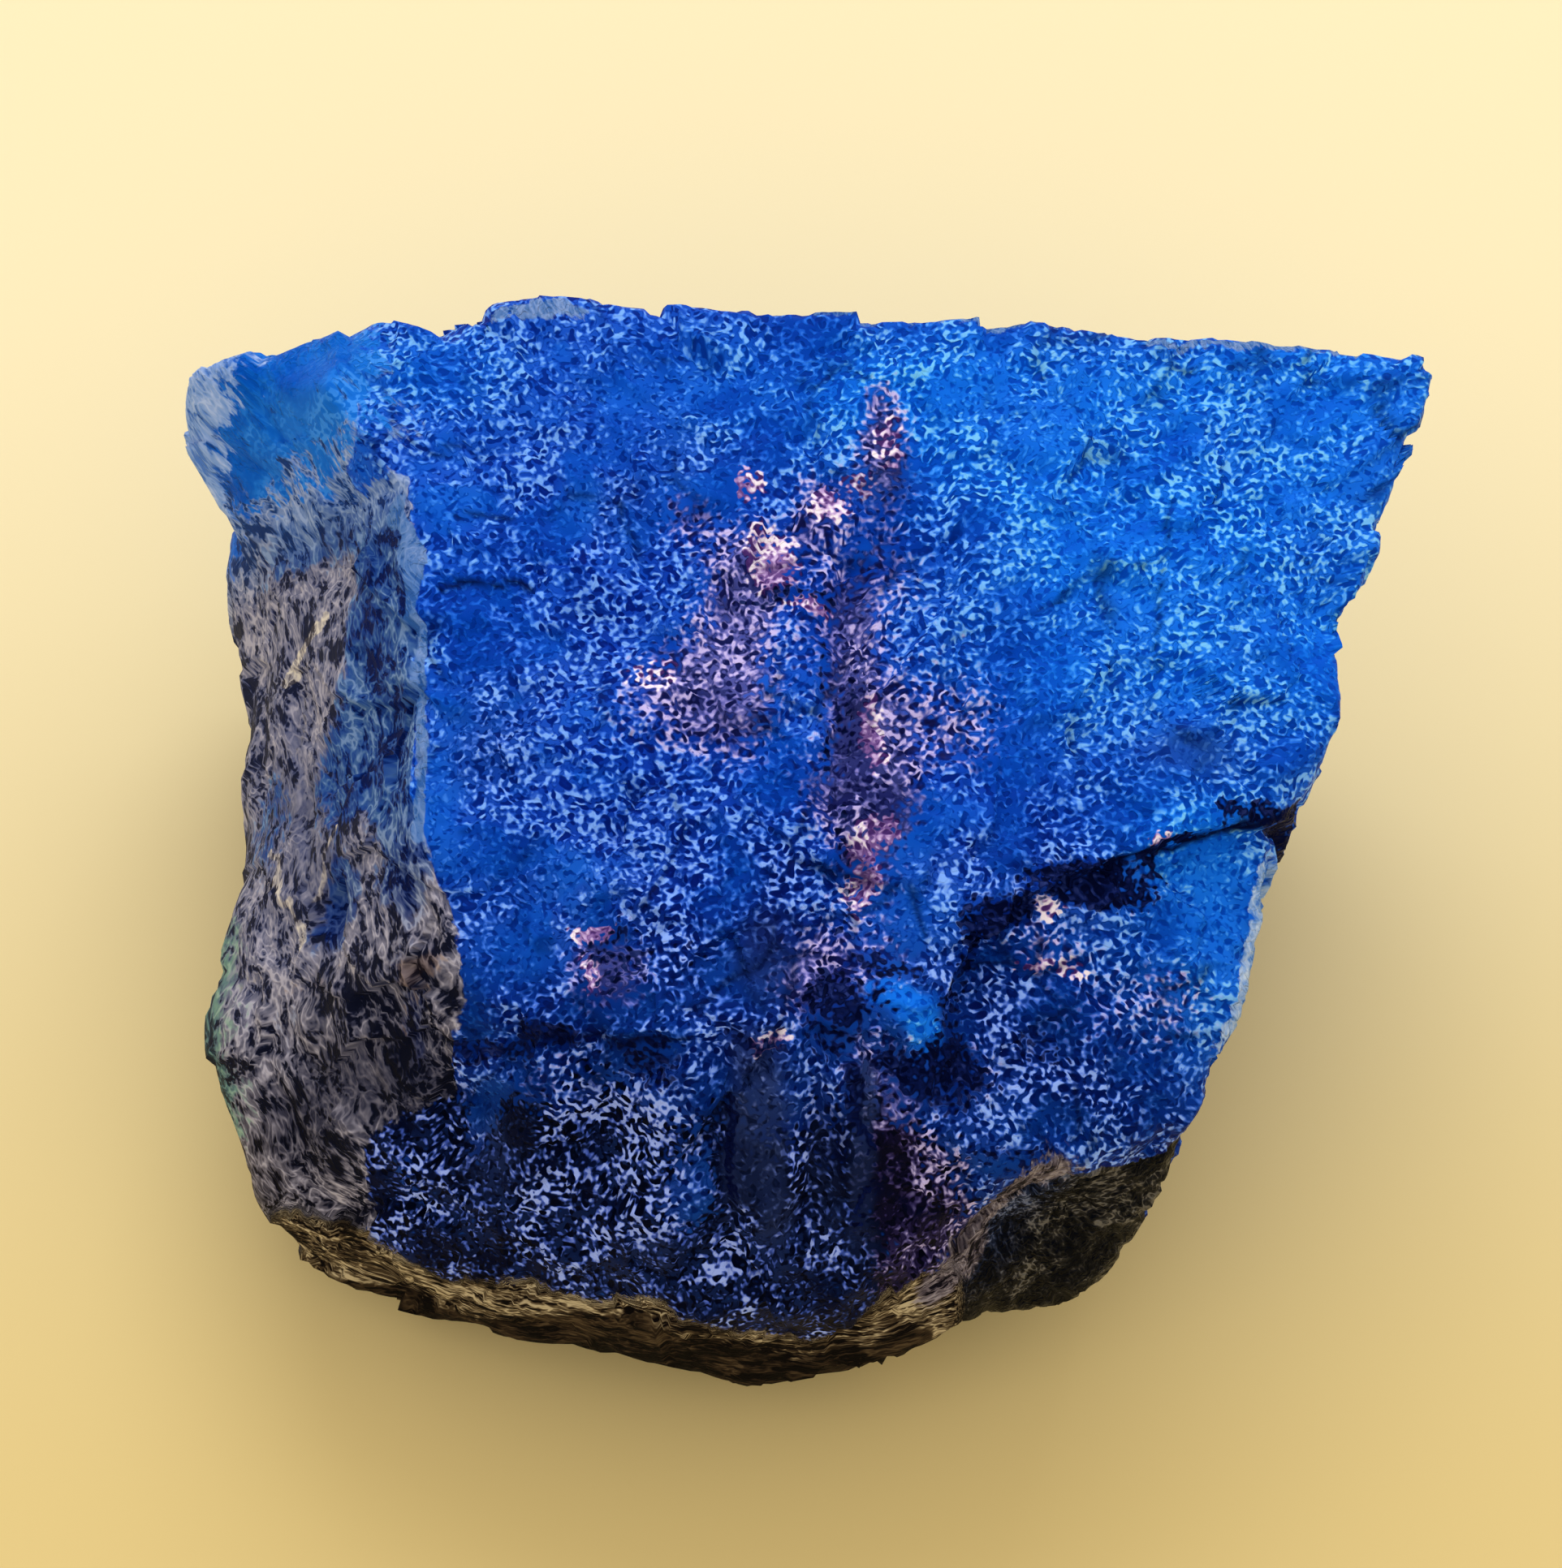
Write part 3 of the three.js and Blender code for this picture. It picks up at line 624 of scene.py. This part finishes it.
# Extra relief for the kinds of surface: crystal chips, fibre furrows on the band, thin shelves on
# the crust.
def kindHeight(masks, fibres, chipping):
    calm = (1 - 0.75 * masks["band"]) * (1 - 0.6 * masks["crust"]) * (1 - 0.5 * masks["dull"])
    height = chipping * calm * (1 - 0.6 * masks["earth"]) * (1 - 0.6 * masks["corner"])
    furrow = ease((smoothNoise(fibres * 0.4, 75) - 0.1) / 0.5)
    shelf = smoothNoise(fibres * 0.45, 76)
    return height - 0.2 * furrow * masks["band"] + 0.22 * shelf * masks["crust"]


# The mesh is a sheet over the top and walls and a coarser one below, sewn together at the girdle.
# Grid of a and b from -1 to 1; inner points stray by a share of a cell.
def sheetGrid(across, deep, salt):
    a, b = np.meshgrid(np.linspace(-1, 1, across + 1), np.linspace(-1, 1, deep + 1), indexing="ij")
    i, j = np.meshgrid(np.arange(across + 1.0), np.arange(deep + 1.0), indexing="ij")
    free = (np.maximum(abs(a), abs(b)) < 1 - 1e-9) * stone["jitter"]
    a = a + free * (2 * scatter(i, j, 0, salt) - 1) / across
    b = b + free * (2 * scatter(i, j, 1, salt) - 1) / deep
    return a, b


# Two triangles per cell; the diagonal swaps by quadrant so that it runs out to each corner.
def sheetTriangles(index):
    across, deep = index.shape[0] - 1, index.shape[1] - 1
    i, j = np.meshgrid(np.arange(across), np.arange(deep), indexing="ij")
    near, far, nearUp, farUp = index[:-1, :-1], index[1:, :-1], index[:-1, 1:], index[1:, 1:]
    outToCorner = (2 * i < across) == (2 * j < deep)
    outToCorner = outToCorner[..., None]
    one = np.where(outToCorner, np.stack([near, far, farUp], -1), np.stack([near, far, nearUp], -1))
    two = np.where(outToCorner, np.stack([near, farUp, nearUp], -1), np.stack([far, farUp, nearUp], -1))
    return np.concatenate([one.reshape(-1, 3), two.reshape(-1, 3)])


# The rim of a sheet, once round.
def rimLoop(index):
    return np.concatenate([index[:-1, 0], index[-1, :-1], index[:0:-1, -1], index[0, :0:-1]])


# Each lower triangle with an edge on the girdle is split at the upper rim's in-between point.
def sewTriangles(triangles, rim):
    place = np.full(triangles.max() + 1, -1)
    place[rim] = np.arange(len(rim))
    for edge in range(3):
        u, v, w = triangles[:, edge], triangles[:, (edge + 1) % 3], triangles[:, (edge + 2) % 3]
        pu, pv = place[u], place[v]
        onRim = (pu >= 0) & (pv >= 0)
        forward, backward = (pu + 2) % len(rim) == pv, (pv + 2) % len(rim) == pu
        cut = onRim & (forward | backward)
        middle = rim[np.where(forward, pu + 1, pv + 1)[cut] % len(rim)]
        firstHalf = np.stack([u[cut], middle, w[cut]], -1)
        secondHalf = np.stack([middle, v[cut], w[cut]], -1)
        triangles = np.concatenate([triangles[~cut], firstHalf, secondHalf])
    return triangles


# Arms to every point, the upper sheet first, and the triangles between them.
def stoneNet():
    across, deep = stone["cellsAcross"], stone["cellsDeep"]
    topA, topB = sheetGrid(across, deep, 81)
    lowA, lowB = sheetGrid(across // 2, deep // 2, 82)
    topIndex = np.arange(topA.size).reshape(topA.shape)
    lowIndex = np.full(lowA.shape, -1)
    inner = lowIndex[1:-1, 1:-1].shape
    lowIndex[1:-1, 1:-1] = topA.size + np.arange(inner[0] * inner[1]).reshape(inner)
    lowIndex[0], lowIndex[-1] = topIndex[0, ::2], topIndex[-1, ::2]
    lowIndex[:, 0], lowIndex[:, -1] = topIndex[::2, 0], topIndex[::2, -1]
    arms = np.concatenate([
        wrapArms(topA, topB, 1).reshape(-1, 3),
        wrapArms(lowA, lowB, -1)[1:-1, 1:-1].reshape(-1, 3),
    ])
    lower = sewTriangles(sheetTriangles(lowIndex), rimLoop(topIndex))[:, ::-1]
    return arms, np.concatenate([sheetTriangles(topIndex), lower])


# Skin points plus the fine relief along their facing, moved to the seat and ground flat below.
def dressedPoints(arms):
    ground, points = skinPoints(arms)
    share = faceShares(arms)
    places = (ground + 0.35 * sway(ground, 1.8, 2, 98, 2), ground, ground)
    large, small, tiny = (chips(place, size, tilt, 21 + 10 * n)
                          for n, (place, (size, tilt)) in enumerate(zip(places, stone["fineChips"])))
    masks = surfaceMasks(ground, share, {"large": large[1], "small": small[1], "edge": large[2]})
    fibres = fibreCoords(ground, masks)
    points = points + skinNormals(share) * kindHeight(masks, fibres, small[0] + tiny[0])[:, None]
    points = points + np.array(stone["seat"]) - (0, 0, stone["baseCut"])
    points[:, 2] = np.maximum(points[:, 2], 0)
    return points, masks, {"fibres": fibres, "grains": grainCoords(ground)}


def buildStoneMesh():
    arms, triangles = stoneNet()
    points, masks, coords = dressedPoints(arms)
    mesh = bpy.data.meshes.new("roughSapphire")
    mesh.from_pydata(points / 1000, [], triangles, shade_flat=False)
    for name, values in masks.items():
        attribute = mesh.attributes.new(name, "FLOAT", "POINT")
        attribute.data.foreach_set("value", values.astype(np.float32))
    for name, values in coords.items():
        attribute = mesh.attributes.new(name, "FLOAT_VECTOR", "POINT")
        attribute.data.foreach_set("vector", values.astype(np.float32).ravel())
    mesh.validate()
    print("stone mesh:", len(points), "points,", len(triangles), "triangles")
    return mesh


# A hex colour as the linear numbers a socket takes.
def paint(hexCode):
    parts = [int(hexCode[n:n + 2], 16) / 255 for n in (0, 2, 4)]
    return (*[c / 12.92 if c <= 0.04045 else ((c + 0.055) / 1.055) ** 2.4 for c in parts], 1)


# A keyword such as From_Min is the socket "From Min", and s2 is input number 2.
def addNode(tree, kind, settings=None, **sockets):
    node = tree.nodes.new(kind)
    for key, value in (settings or {}).items():
        setattr(node, key, value)
    for key, value in sockets.items():
        setSocket(node, key.replace("_", " "), value)
    return node


# Sockets are found by name, or by number where names repeat; a value is set, a socket is linked.
def setSocket(node, key, value):
    socket = node.inputs[int(key[1:])] if key[0] == "s" and key[1:].isdigit() else node.inputs[key]
    if isinstance(value, bpy.types.NodeSocket):
        node.id_data.links.new(value, socket)
    else:
        socket.default_value = value


# The node joins the tree that its inputs come from.
def mathNode(operation, *values):
    tree = next(value.id_data for value in values if isinstance(value, bpy.types.NodeSocket))
    sockets = {"s" + str(n): value for n, value in enumerate(values)}
    return addNode(tree, "ShaderNodeMath", {"operation": operation}, **sockets).outputs[0]


def times(a, b):
    return mathNode("MULTIPLY", a, b)


# a * b + c
def timesPlus(a, b, c):
    return mathNode("MULTIPLY_ADD", a, b, c)


def oneMinus(a):
    return mathNode("SUBTRACT", 1.0, a)


# Clipped ramp: 0 at low, 1 at high, eased between.
def stepNode(value, low, high):
    return addNode(value.id_data, "ShaderNodeMapRange", {"interpolation_type": "SMOOTHSTEP"},
                   Value=value, From_Min=low, From_Max=high).outputs["Result"]


def mixColour(share, first, second):
    node = addNode(share.id_data, "ShaderNodeMix", {"data_type": "RGBA"}, s0=share, s6=first, s7=second)
    return node.outputs[2]


def mixValue(share, first, second):
    node = addNode(share.id_data, "ShaderNodeMix", {"data_type": "FLOAT"}, s0=share, s2=first, s3=second)
    return node.outputs[0]


def noiseNode(vector, scale, detail=0.0, distortion=0.0, roughness=0.5):
    return addNode(vector.id_data, "ShaderNodeTexNoise", Vector=vector, Scale=scale, Detail=detail,
                   Distortion=distortion, Roughness=roughness).outputs["Fac"]


# Distance of a noise from its middle level, times a gain: nought along a net of curls.
def awayNode(noise, gain):
    return times(mathNode("ABSOLUTE", mathNode("SUBTRACT", noise, 0.5)), gain)


def newGroup(name, inputs, outputs):
    group = bpy.data.node_groups.new(name, "ShaderNodeTree")
    sockets = group.interface
    for socketName, kind, value in inputs:
        socket = sockets.new_socket(name=socketName, in_out="INPUT", socket_type="NodeSocket" + kind)
        if value is not None:
            socket.default_value = value
    for socketName, kind in outputs:
        sockets.new_socket(name=socketName, in_out="OUTPUT", socket_type="NodeSocket" + kind)
    return group, group.nodes.new("NodeGroupInput").outputs, group.nodes.new("NodeGroupOutput").inputs


def giveOut(group, result, **values):
    for name, value in values.items():
        group.links.new(value, result[name])
    return group


# Sugary grains: cells with dark seams, and over them the level line of a noise, thickened and broken
# up into curls with a dark outline. The curls are pale grains and painted glints, the highlights of the
# facets. Level = ground from Tone, less in seams and outlines, more on the faint curls of a second
# noise, and up to 1 on the bright curls, painted glints, where the break noise peaks.
def makeSugarGroup():
    group, given, result = newGroup(
        "sugaryGrain",
        [("Curled Vector", "Vector", None), ("Vector", "Vector", None), ("Grain", "Float", 0.5),
         ("Cover", "Float", 1.0), ("Tone", "Float", 0.5)],
        [("Noise", "Float"), ("Level", "Float"), ("Curls", "Float"), ("Height", "Float")],
    )
    curled, cover = given["Curled Vector"], given["Cover"]
    frequency = mathNode("DIVIDE", 1.0, given["Grain"])
    breaks = noiseNode(given["Vector"], times(frequency, 1.5))
    covered = timesPlus(mathNode("SUBTRACT", cover, 0.6), 0.16, breaks)
    dense = stepNode(covered, 0.34, 0.48)
    line = noiseNode(curled, frequency)
    away = awayNode(line, 3.7)
    ridge = oneMinus(stepNode(away, 0.3, 0.74))
    curlsAndGlints = times(times(ridge, stepNode(covered, 0.385, 0.48)), timesPlus(cover, 0.7, 0.3))
    outline = stepNode(away, 0.4, 0.8)
    beside = timesPlus(stepNode(away, 1.0, 1.8), -0.5, outline)
    other = noiseNode(curled, times(frequency, 1.35))
    faint = oneMinus(stepNode(awayNode(other, 4.0), 0.2, 0.75))
    cells = addNode(group, "ShaderNodeTexVoronoi", {"feature": "DISTANCE_TO_EDGE"}, Vector=curled,
                    Scale=times(frequency, 0.85)).outputs["Distance"]
    seams = times(oneMinus(stepNode(cells, 0.02, 0.17)), 0.75)
    gaps = times(mathNode("MAXIMUM", times(beside, 0.85), seams), dense)
    ground = timesPlus(given["Tone"], 0.38, 0.2)
    ground = timesPlus(times(faint, dense), 0.2, ground)
    ground = times(ground, oneMinus(gaps))
    # painted glints: the bright curls rise towards 1
    glintLevel = timesPlus(stepNode(covered, 0.42, 0.72), 0.48, 0.38)
    glintLevel = timesPlus(other, 0.36, glintLevel)
    level = mixValue(curlsAndGlints, ground, glintLevel)
    height = timesPlus(gaps, -0.7, curlsAndGlints)
    return giveOut(group, result, Noise=breaks, Level=level, Curls=curlsAndGlints, Height=height)


# Matted fibres over stretched coordinates: coarse noise splits strands from dark slits, and the level
# lines of a finer noise are faint threads. Level = 0.06 in the slits; on the strands it rises with the
# coarse noise, the tone and the threads.
def makeFibreGroup():
    group, given, result = newGroup(
        "mattedFibre",
        [("Vector", "Vector", None), ("Tone", "Float", 0.5)],
        [("Noise", "Float"), ("Level", "Float"), ("Height", "Float")],
    )
    coarse = noiseNode(given["Vector"], 1.3, 3.0, 0.3, 0.6)
    fine = noiseNode(given["Vector"], 2.1)
    threads = oneMinus(stepNode(awayNode(fine, 5.0), 0.05, 0.7))
    lighter = mathNode("SUBTRACT", given["Tone"], 0.5)
    gathered = timesPlus(lighter, 0.14, coarse)
    strands = stepNode(timesPlus(threads, 0.06, gathered), 0.405, 0.525)
    shade = timesPlus(mathNode("SUBTRACT", coarse, 0.5), 1.9, 0.42)
    shade = timesPlus(lighter, 0.5, shade)
    shade = timesPlus(threads, 0.32, shade)
    level = mixValue(strands, 0.06, shade)
    height = timesPlus(threads, 0.25, strands)
    return giveOut(group, result, Noise=coarse, Level=level, Height=height)


# A mask torn along the grains: noise shifts it wherever it is not nought, and it is then cut again.
def makeTornGroup():
    group, given, result = newGroup(
        "tornEdge",
        [("Mask", "Float", 0.0), ("Noise", "Float", 0.5), ("Tear", "Float", 0.6)],
        [("Mask", "Float")],
    )
    mask = given["Mask"]
    shift = times(mathNode("SUBTRACT", given["Noise"], 0.5), given["Tear"])
    shift = times(shift, stepNode(mask, 0.0, 0.3))
    return giveOut(group, result, Mask=stepNode(mathNode("ADD", mask, shift), 0.36, 0.64))


finish = {
    # name: six colours from the darkest gap to the brightest painted glint
    "palettes": {
        "royal": "010F66 04248C 0C38AE 1C4EC6 4074E8 78AAFF",
        "azure": "013EB2 0450CC 0A64E0 1474F0 2C90FF 74C8FF",
        "rose": "060838 181C5C 303678 5256A6 8680CC CEC0F8",
        "blush": "260C46 4E2E72 805CA0 AE8CC8 DABEEC FFF2FF",
        # dark front: a dark matrix with painted shade, its top stops painted glints
        "night": "000108 02041B 050B2A 10204E 4660C6 9EB4FF",
        "plum": "02020E 080618 150F30 322A5C 6A629C C6BAF0",
        # painted shade under the ledges and in grooves and cracks, also the dark seams
        "deep": "010320 030830 06103E 0C1850 2C3A78 B8BEF4",
        "dull": "060E2E 141F46 1E2B58 2C3A6A 4A588C 8E98C4",
        "corner": "003CA4 0450BC 085CCA 1066D2 1C74DE 4496F8",
        # grey-lilac of the band: partly a film, partly painted sheen of the bright surroundings
        "taupeAndSheen": "0E1228 282E50 54597C 72748F 8A89A2 ACA9BC",
        "lagoon": "020C3C 082064 143680 264A92 42669E 6E8CBE",
        "dusk": "030205 0C0A0F 2C2932 524E59 7B7785 AAA5B2",
        "tip": "1C4AB0 3E70CA 608ADA 7EA2E4 98B4EE B2C8F8",
        "mist": "0C2C70 2C58A4 5478C0 7290CC 8CA4D8 A4B8E6",
        "frost": "1E4CA8 3A6CC4 5E8CD4 80A4DC A0BAE4 C2D4EE",
        "pearl": "0E3488 20509C 3A66AC 5278B6 6888C2 7C98CE",
        "teal": "20343C 38525A 4C6C70 5E8080 729288 8CA89C",
        "rust": "120C12 2A2228 463C42 605458 7A6C70 9C8C8C",
        # tan fibres of the rim, partly a painted reflection of the yellow floor
        "straw": "050302 120C08 2A2017 483C2C 786A54 C0B294",
        # the undercut faces: painted shade, dark brown
        "earth": "0A0703 130F09 1F170F 2B2116 3A2E20 504230",
        "facetBlue": "01020A 040713 0A0F20 161E34 2A3450 667090",
        "cream": "24222C 5C5864 84808A A8A2A6 C4BCB8 DCD4C8",
        "fuzz": "0A0810 1C1820 38323C 544C56 6E6670 948C96",
        "facet": "020205 06070B 0D0D0F 191818 2E2C2A 66625C",
    },
    # from the bottom up: mask, palette, how far its rim is torn (0 keeps it soft), strength
    "crystalLayers": (
        # dim and night lay painted shade over the dark matrix of the front
        ("dim", "night", 0, 0.62), ("rose", "rose", 0.6, 1), ("blush", "blush", 2.2, 1),
        ("night", "night", 1.4, 1), ("plum", "plum", 1.0, 1), ("dull", "dull", 0, 0.8),
    ),
    "bandLayers": (
        ("lagoon", "lagoon", 1.6, 1), ("dusk", "dusk", 0, 1), ("mist", "mist", 0, 1),
        ("teal", "teal", 1.2, 1), ("rust", "rust", 1.6, 1), ("cream", "cream", 1.0, 1),
    ),
    "shadowTear": 1.4, "bandTear": 1.5, "facetTear": 0.8,
    "rimLayers": (("crust", "straw", 1.4, 1), ("fuzz", "fuzz", 1.2, 1), ("earth", "earth", 0.8, 1)),
    "seamLevel": 0.12, "shadowDarkens": 0.35, "bandShadeDarkens": 0.4,
    # the lifts brighten the painted glints on the pink patches and on the dark front
    "blushLifts": (0.16, 0.1), "nightCurlsLift": 0.08,  # more on the curls, then everywhere
    "grain": 0.33, "relief": 0.00004,  # curls in mm, bump in metres
    "grainRoughness": 0.5, "curlRoughness": 0.28, "bandRoughness": 0.55, "rimRoughness": 0.8,
    "specular": 0.05, "specularTint": "6496FF",
}


# Six stops a fifth apart.
def paletteNode(tree, name, level):
    node = addNode(tree, "ShaderNodeValToRGB", Fac=level)
    stops = node.color_ramp.elements
    for n, hexCode in enumerate(finish["palettes"][name].split()):
        stop = stops.new(n / 5) if 0 < n < 5 else stops[0 if n == 0 else -1]
        stop.color = paint(hexCode)
    return node.outputs["Color"]


# One mask of the mesh, torn along a noise or left soft, times a strength.
def maskShare(mask, tornGroup, noise, tear, strength=1):
    if tear:
        mask = addNode(mask.id_data, "ShaderNodeGroup", {"node_tree": tornGroup},
                       Mask=mask, Noise=noise, Tear=tear).outputs["Mask"]
    return mask if strength == 1 else times(mask, strength)


def makeSapphire(mesh):
    material = bpy.data.materials.new("roughSapphireCrystal")
    material.use_nodes = True
    tree = material.node_tree
    tree.nodes.clear()

    def attribute(name, output):
        return addNode(tree, "ShaderNodeAttribute", {"attribute_name": name}).outputs[output]

    place = addNode(tree, "ShaderNodeTexCoord").outputs["Object"]
    inMillimetres = addNode(tree, "ShaderNodeVectorMath", {"operation": "SCALE"}, s0=place, Scale=1000.0)
    mask = {a.name: attribute(a.name, "Fac") for a in mesh.attributes if a.data_type == "FLOAT"}
    cover = times(mask["cover"], timesPlus(mask["dull"], -0.7, 1.0))
    sugar = addNode(tree, "ShaderNodeGroup", {"node_tree": makeSugarGroup()},
                    Curled_Vector=attribute("grains", "Vector"), Vector=inMillimetres.outputs[0],
                    Grain=finish["grain"], Cover=cover, Tone=mask["tone"]).outputs
    fibre = addNode(tree, "ShaderNodeGroup", {"node_tree": makeFibreGroup()},
                    Vector=attribute("fibres", "Vector"), Tone=mask["tone"]).outputs
    tornGroup = makeTornGroup()

    def layer(colour, name, palette, tear, strength, level, noise):
        share = maskShare(mask[name], tornGroup, noise, tear, strength)
        return mixColour(share, colour, paletteNode(tree, palette, level))

    # crystal: bare ground reads lighter and greener than the ground between grains
    grainy, matted = sugar["Noise"], fibre["Noise"]
    shadow = maskShare(mask["shadow"], tornGroup, grainy, finish["shadowTear"])
    level = times(sugar["Level"], timesPlus(shadow, -finish["shadowDarkens"], 1.0))
    # painted glints: the curls are lifted further on the pink patches and on the dark front
    lift = timesPlus(sugar["Curls"], *finish["blushLifts"])
    level = timesPlus(mask["blush"], lift, level)
    nightCurls = times(mask["night"], sugar["Curls"])
    level = timesPlus(nightCurls, finish["nightCurlsLift"], level)
    bare = timesPlus(mask["cover"], -0.5, 0.5)
    lighter = mathNode("MAXIMUM", mask["azure"], bare)
    colour = mixColour(lighter, paletteNode(tree, "royal", level), paletteNode(tree, "azure", level))
    for row in finish["crystalLayers"]:
        colour = layer(colour, *row, level, grainy)
    colour = mixColour(shadow, colour, paletteNode(tree, "deep", level))
    colour = layer(colour, "seam", "deep", 0, 1, finish["seamLevel"], grainy)

    # weathered band down the left side, its grey-lilac partly a film and partly painted sheen, with the
    # smooth corner above it
    strands = times(fibre["Level"], timesPlus(mask["bandShade"], -finish["bandShadeDarkens"], 1.0))
    soft = timesPlus(strands, 0.6, 0.25)
    smooth = timesPlus(mask["tone"], 0.6, timesPlus(sugar["Curls"], 0.25, 0.1))
    skin = paletteNode(tree, "taupeAndSheen", strands)
    for row in finish["bandLayers"]:
        skin = layer(skin, *row, strands, matted)
    band = maskShare(mask["band"], tornGroup, matted, finish["bandTear"])
    colour = mixColour(band, colour, skin)
    colour = layer(colour, "pearl", "pearl", 1.6, 1, strands, matted)
    colour = layer(colour, "ribbon", "pearl", 1.0, 1, soft, matted)
    colour = layer(colour, "corner", "corner", 2.6, 1, smooth, matted)
    colour = layer(colour, "tip", "tip", 2.6, 1, soft, matted)

    # broken low faces, frosted sliver, straw-coloured rim partly painted reflection of the floor, and
    # painted shade on the underside
    broken = layer(paletteNode(tree, "facet", strands), "facetBlue", "facetBlue", 0, 1, strands, matted)
    facet = maskShare(mask["facet"], tornGroup, matted, finish["facetTear"])
    colour = mixColour(facet, colour, broken)
    colour = layer(colour, "sliver", "frost", 1.8, 1, soft, matted)
    for row in finish["rimLayers"]:
        colour = layer(colour, *row, strands, matted)

    rim = mathNode("MAXIMUM", mask["crust"], mask["earth"])
    matt = mixValue(sugar["Curls"], finish["grainRoughness"], finish["curlRoughness"])
    matt = mixValue(mask["band"], matt, finish["bandRoughness"])
    matt = mixValue(rim, matt, finish["rimRoughness"])
    fibrous = mathNode("MAXIMUM", mask["band"], mask["crust"])
    height = mixValue(fibrous, sugar["Height"], fibre["Height"])
    bump = addNode(tree, "ShaderNodeBump", Height=height, Strength=1.0, Distance=finish["relief"])

    shader = addNode(tree, "ShaderNodeBsdfPrincipled", Base_Color=colour, Roughness=matt, IOR=1.5,
                     Normal=bump.outputs["Normal"], Specular_IOR_Level=finish["specular"],
                     Specular_Tint=paint(finish["specularTint"]))
    addNode(tree, "ShaderNodeOutputMaterial", Surface=shader.outputs[0])
    return material


def addObject(name, data):
    obj = bpy.data.objects.new(name, data)
    bpy.context.scene.collection.objects.link(obj)
    return obj


stoneMesh = buildStoneMesh()
stoneMesh.materials.append(makeSapphire(stoneMesh))
stoneObject = addObject("roughSapphire", stoneMesh)
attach(stoneObject, "root")
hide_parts("rough_sapphire")
print("stone finished")

# Floor, light and camera, in metres and degrees.
studio = {
    "floorSize": 1.2, "floorRoughness": 0.85,
    # floor colour painted darker and yellower toward the front and paler at the back: painted light falloff
    "floorFrontShaded": "E8CD88", "floorBackLit": "F8E8BC", "floorBlend": (-0.03, 0.035),
    "windowPlace": (0.01, 0.27, 0.27), "windowSize": (0.3, 0.22), "windowAim": (0, 0, 0.01),
    "windowPower": 0.66, "windowColour": "F0F6FF",
    "skyColour": "FBF5E8", "skyStrength": 0.88,
    "target": (-0.00058, 0.00187, 0.0137),
    "elevation": 64.0, "distance": 0.2, "lens": 125.5,
}


def makeFloor():
    half = studio["floorSize"] / 2
    mesh = bpy.data.meshes.new("paperFloor")
    corners = [(-half, -half, 0), (half, -half, 0), (half, half, 0), (-half, half, 0)]
    mesh.from_pydata(corners, [], [(0, 1, 2, 3)])
    material = bpy.data.materials.new("paleFloor")
    material.use_nodes = True
    tree = material.node_tree
    shader = tree.nodes["Principled BSDF"]
    place = addNode(tree, "ShaderNodeTexCoord").outputs["Object"]
    # painted light falloff across the floor, darker toward the front
    depth = addNode(tree, "ShaderNodeSeparateXYZ", s0=place).outputs["Y"]
    share = stepNode(depth, *studio["floorBlend"])
    paper = mixColour(share, paint(studio["floorFrontShaded"]), paint(studio["floorBackLit"]))
    tree.links.new(paper, shader.inputs["Base Color"])
    shader.inputs["Roughness"].default_value = studio["floorRoughness"]
    mesh.materials.append(material)
    addObject("paperFloor", mesh)


def aim(obj, target):
    obj.rotation_euler = (Vector(target) - obj.location).to_track_quat("-Z", "Y").to_euler()


def makeLight():
    lamp = bpy.data.lights.new("window", "AREA")
    lamp.shape = "RECTANGLE"
    lamp.size, lamp.size_y = studio["windowSize"]
    lamp.energy = studio["windowPower"]
    lamp.color = paint(studio["windowColour"])[:3]
    window = addObject("window", lamp)
    window.location = studio["windowPlace"]
    window.visible_camera = False
    aim(window, studio["windowAim"])
    world = bpy.data.worlds.new("softSky")
    world.use_nodes = True
    sky = world.node_tree.nodes["Background"].inputs
    sky["Color"].default_value = paint(studio["skyColour"])
    sky["Strength"].default_value = studio["skyStrength"]
    bpy.context.scene.world = world


def makeCamera():
    tilt = math.radians(studio["elevation"])
    target = Vector(studio["target"])
    lens = bpy.data.cameras.new("camera")
    lens.lens = studio["lens"]
    lens.clip_start, lens.clip_end = 0.01, 5
    camera = addObject("camera", lens)
    camera.location = target + studio["distance"] * Vector((0, -math.cos(tilt), math.sin(tilt)))
    aim(camera, target)
    bpy.context.scene.camera = camera


makeFloor()
makeLight()
makeCamera()
bpy.context.scene.view_settings.view_transform = "Standard"
print("floor, light and camera set")

bpy.context.view_layer.update()
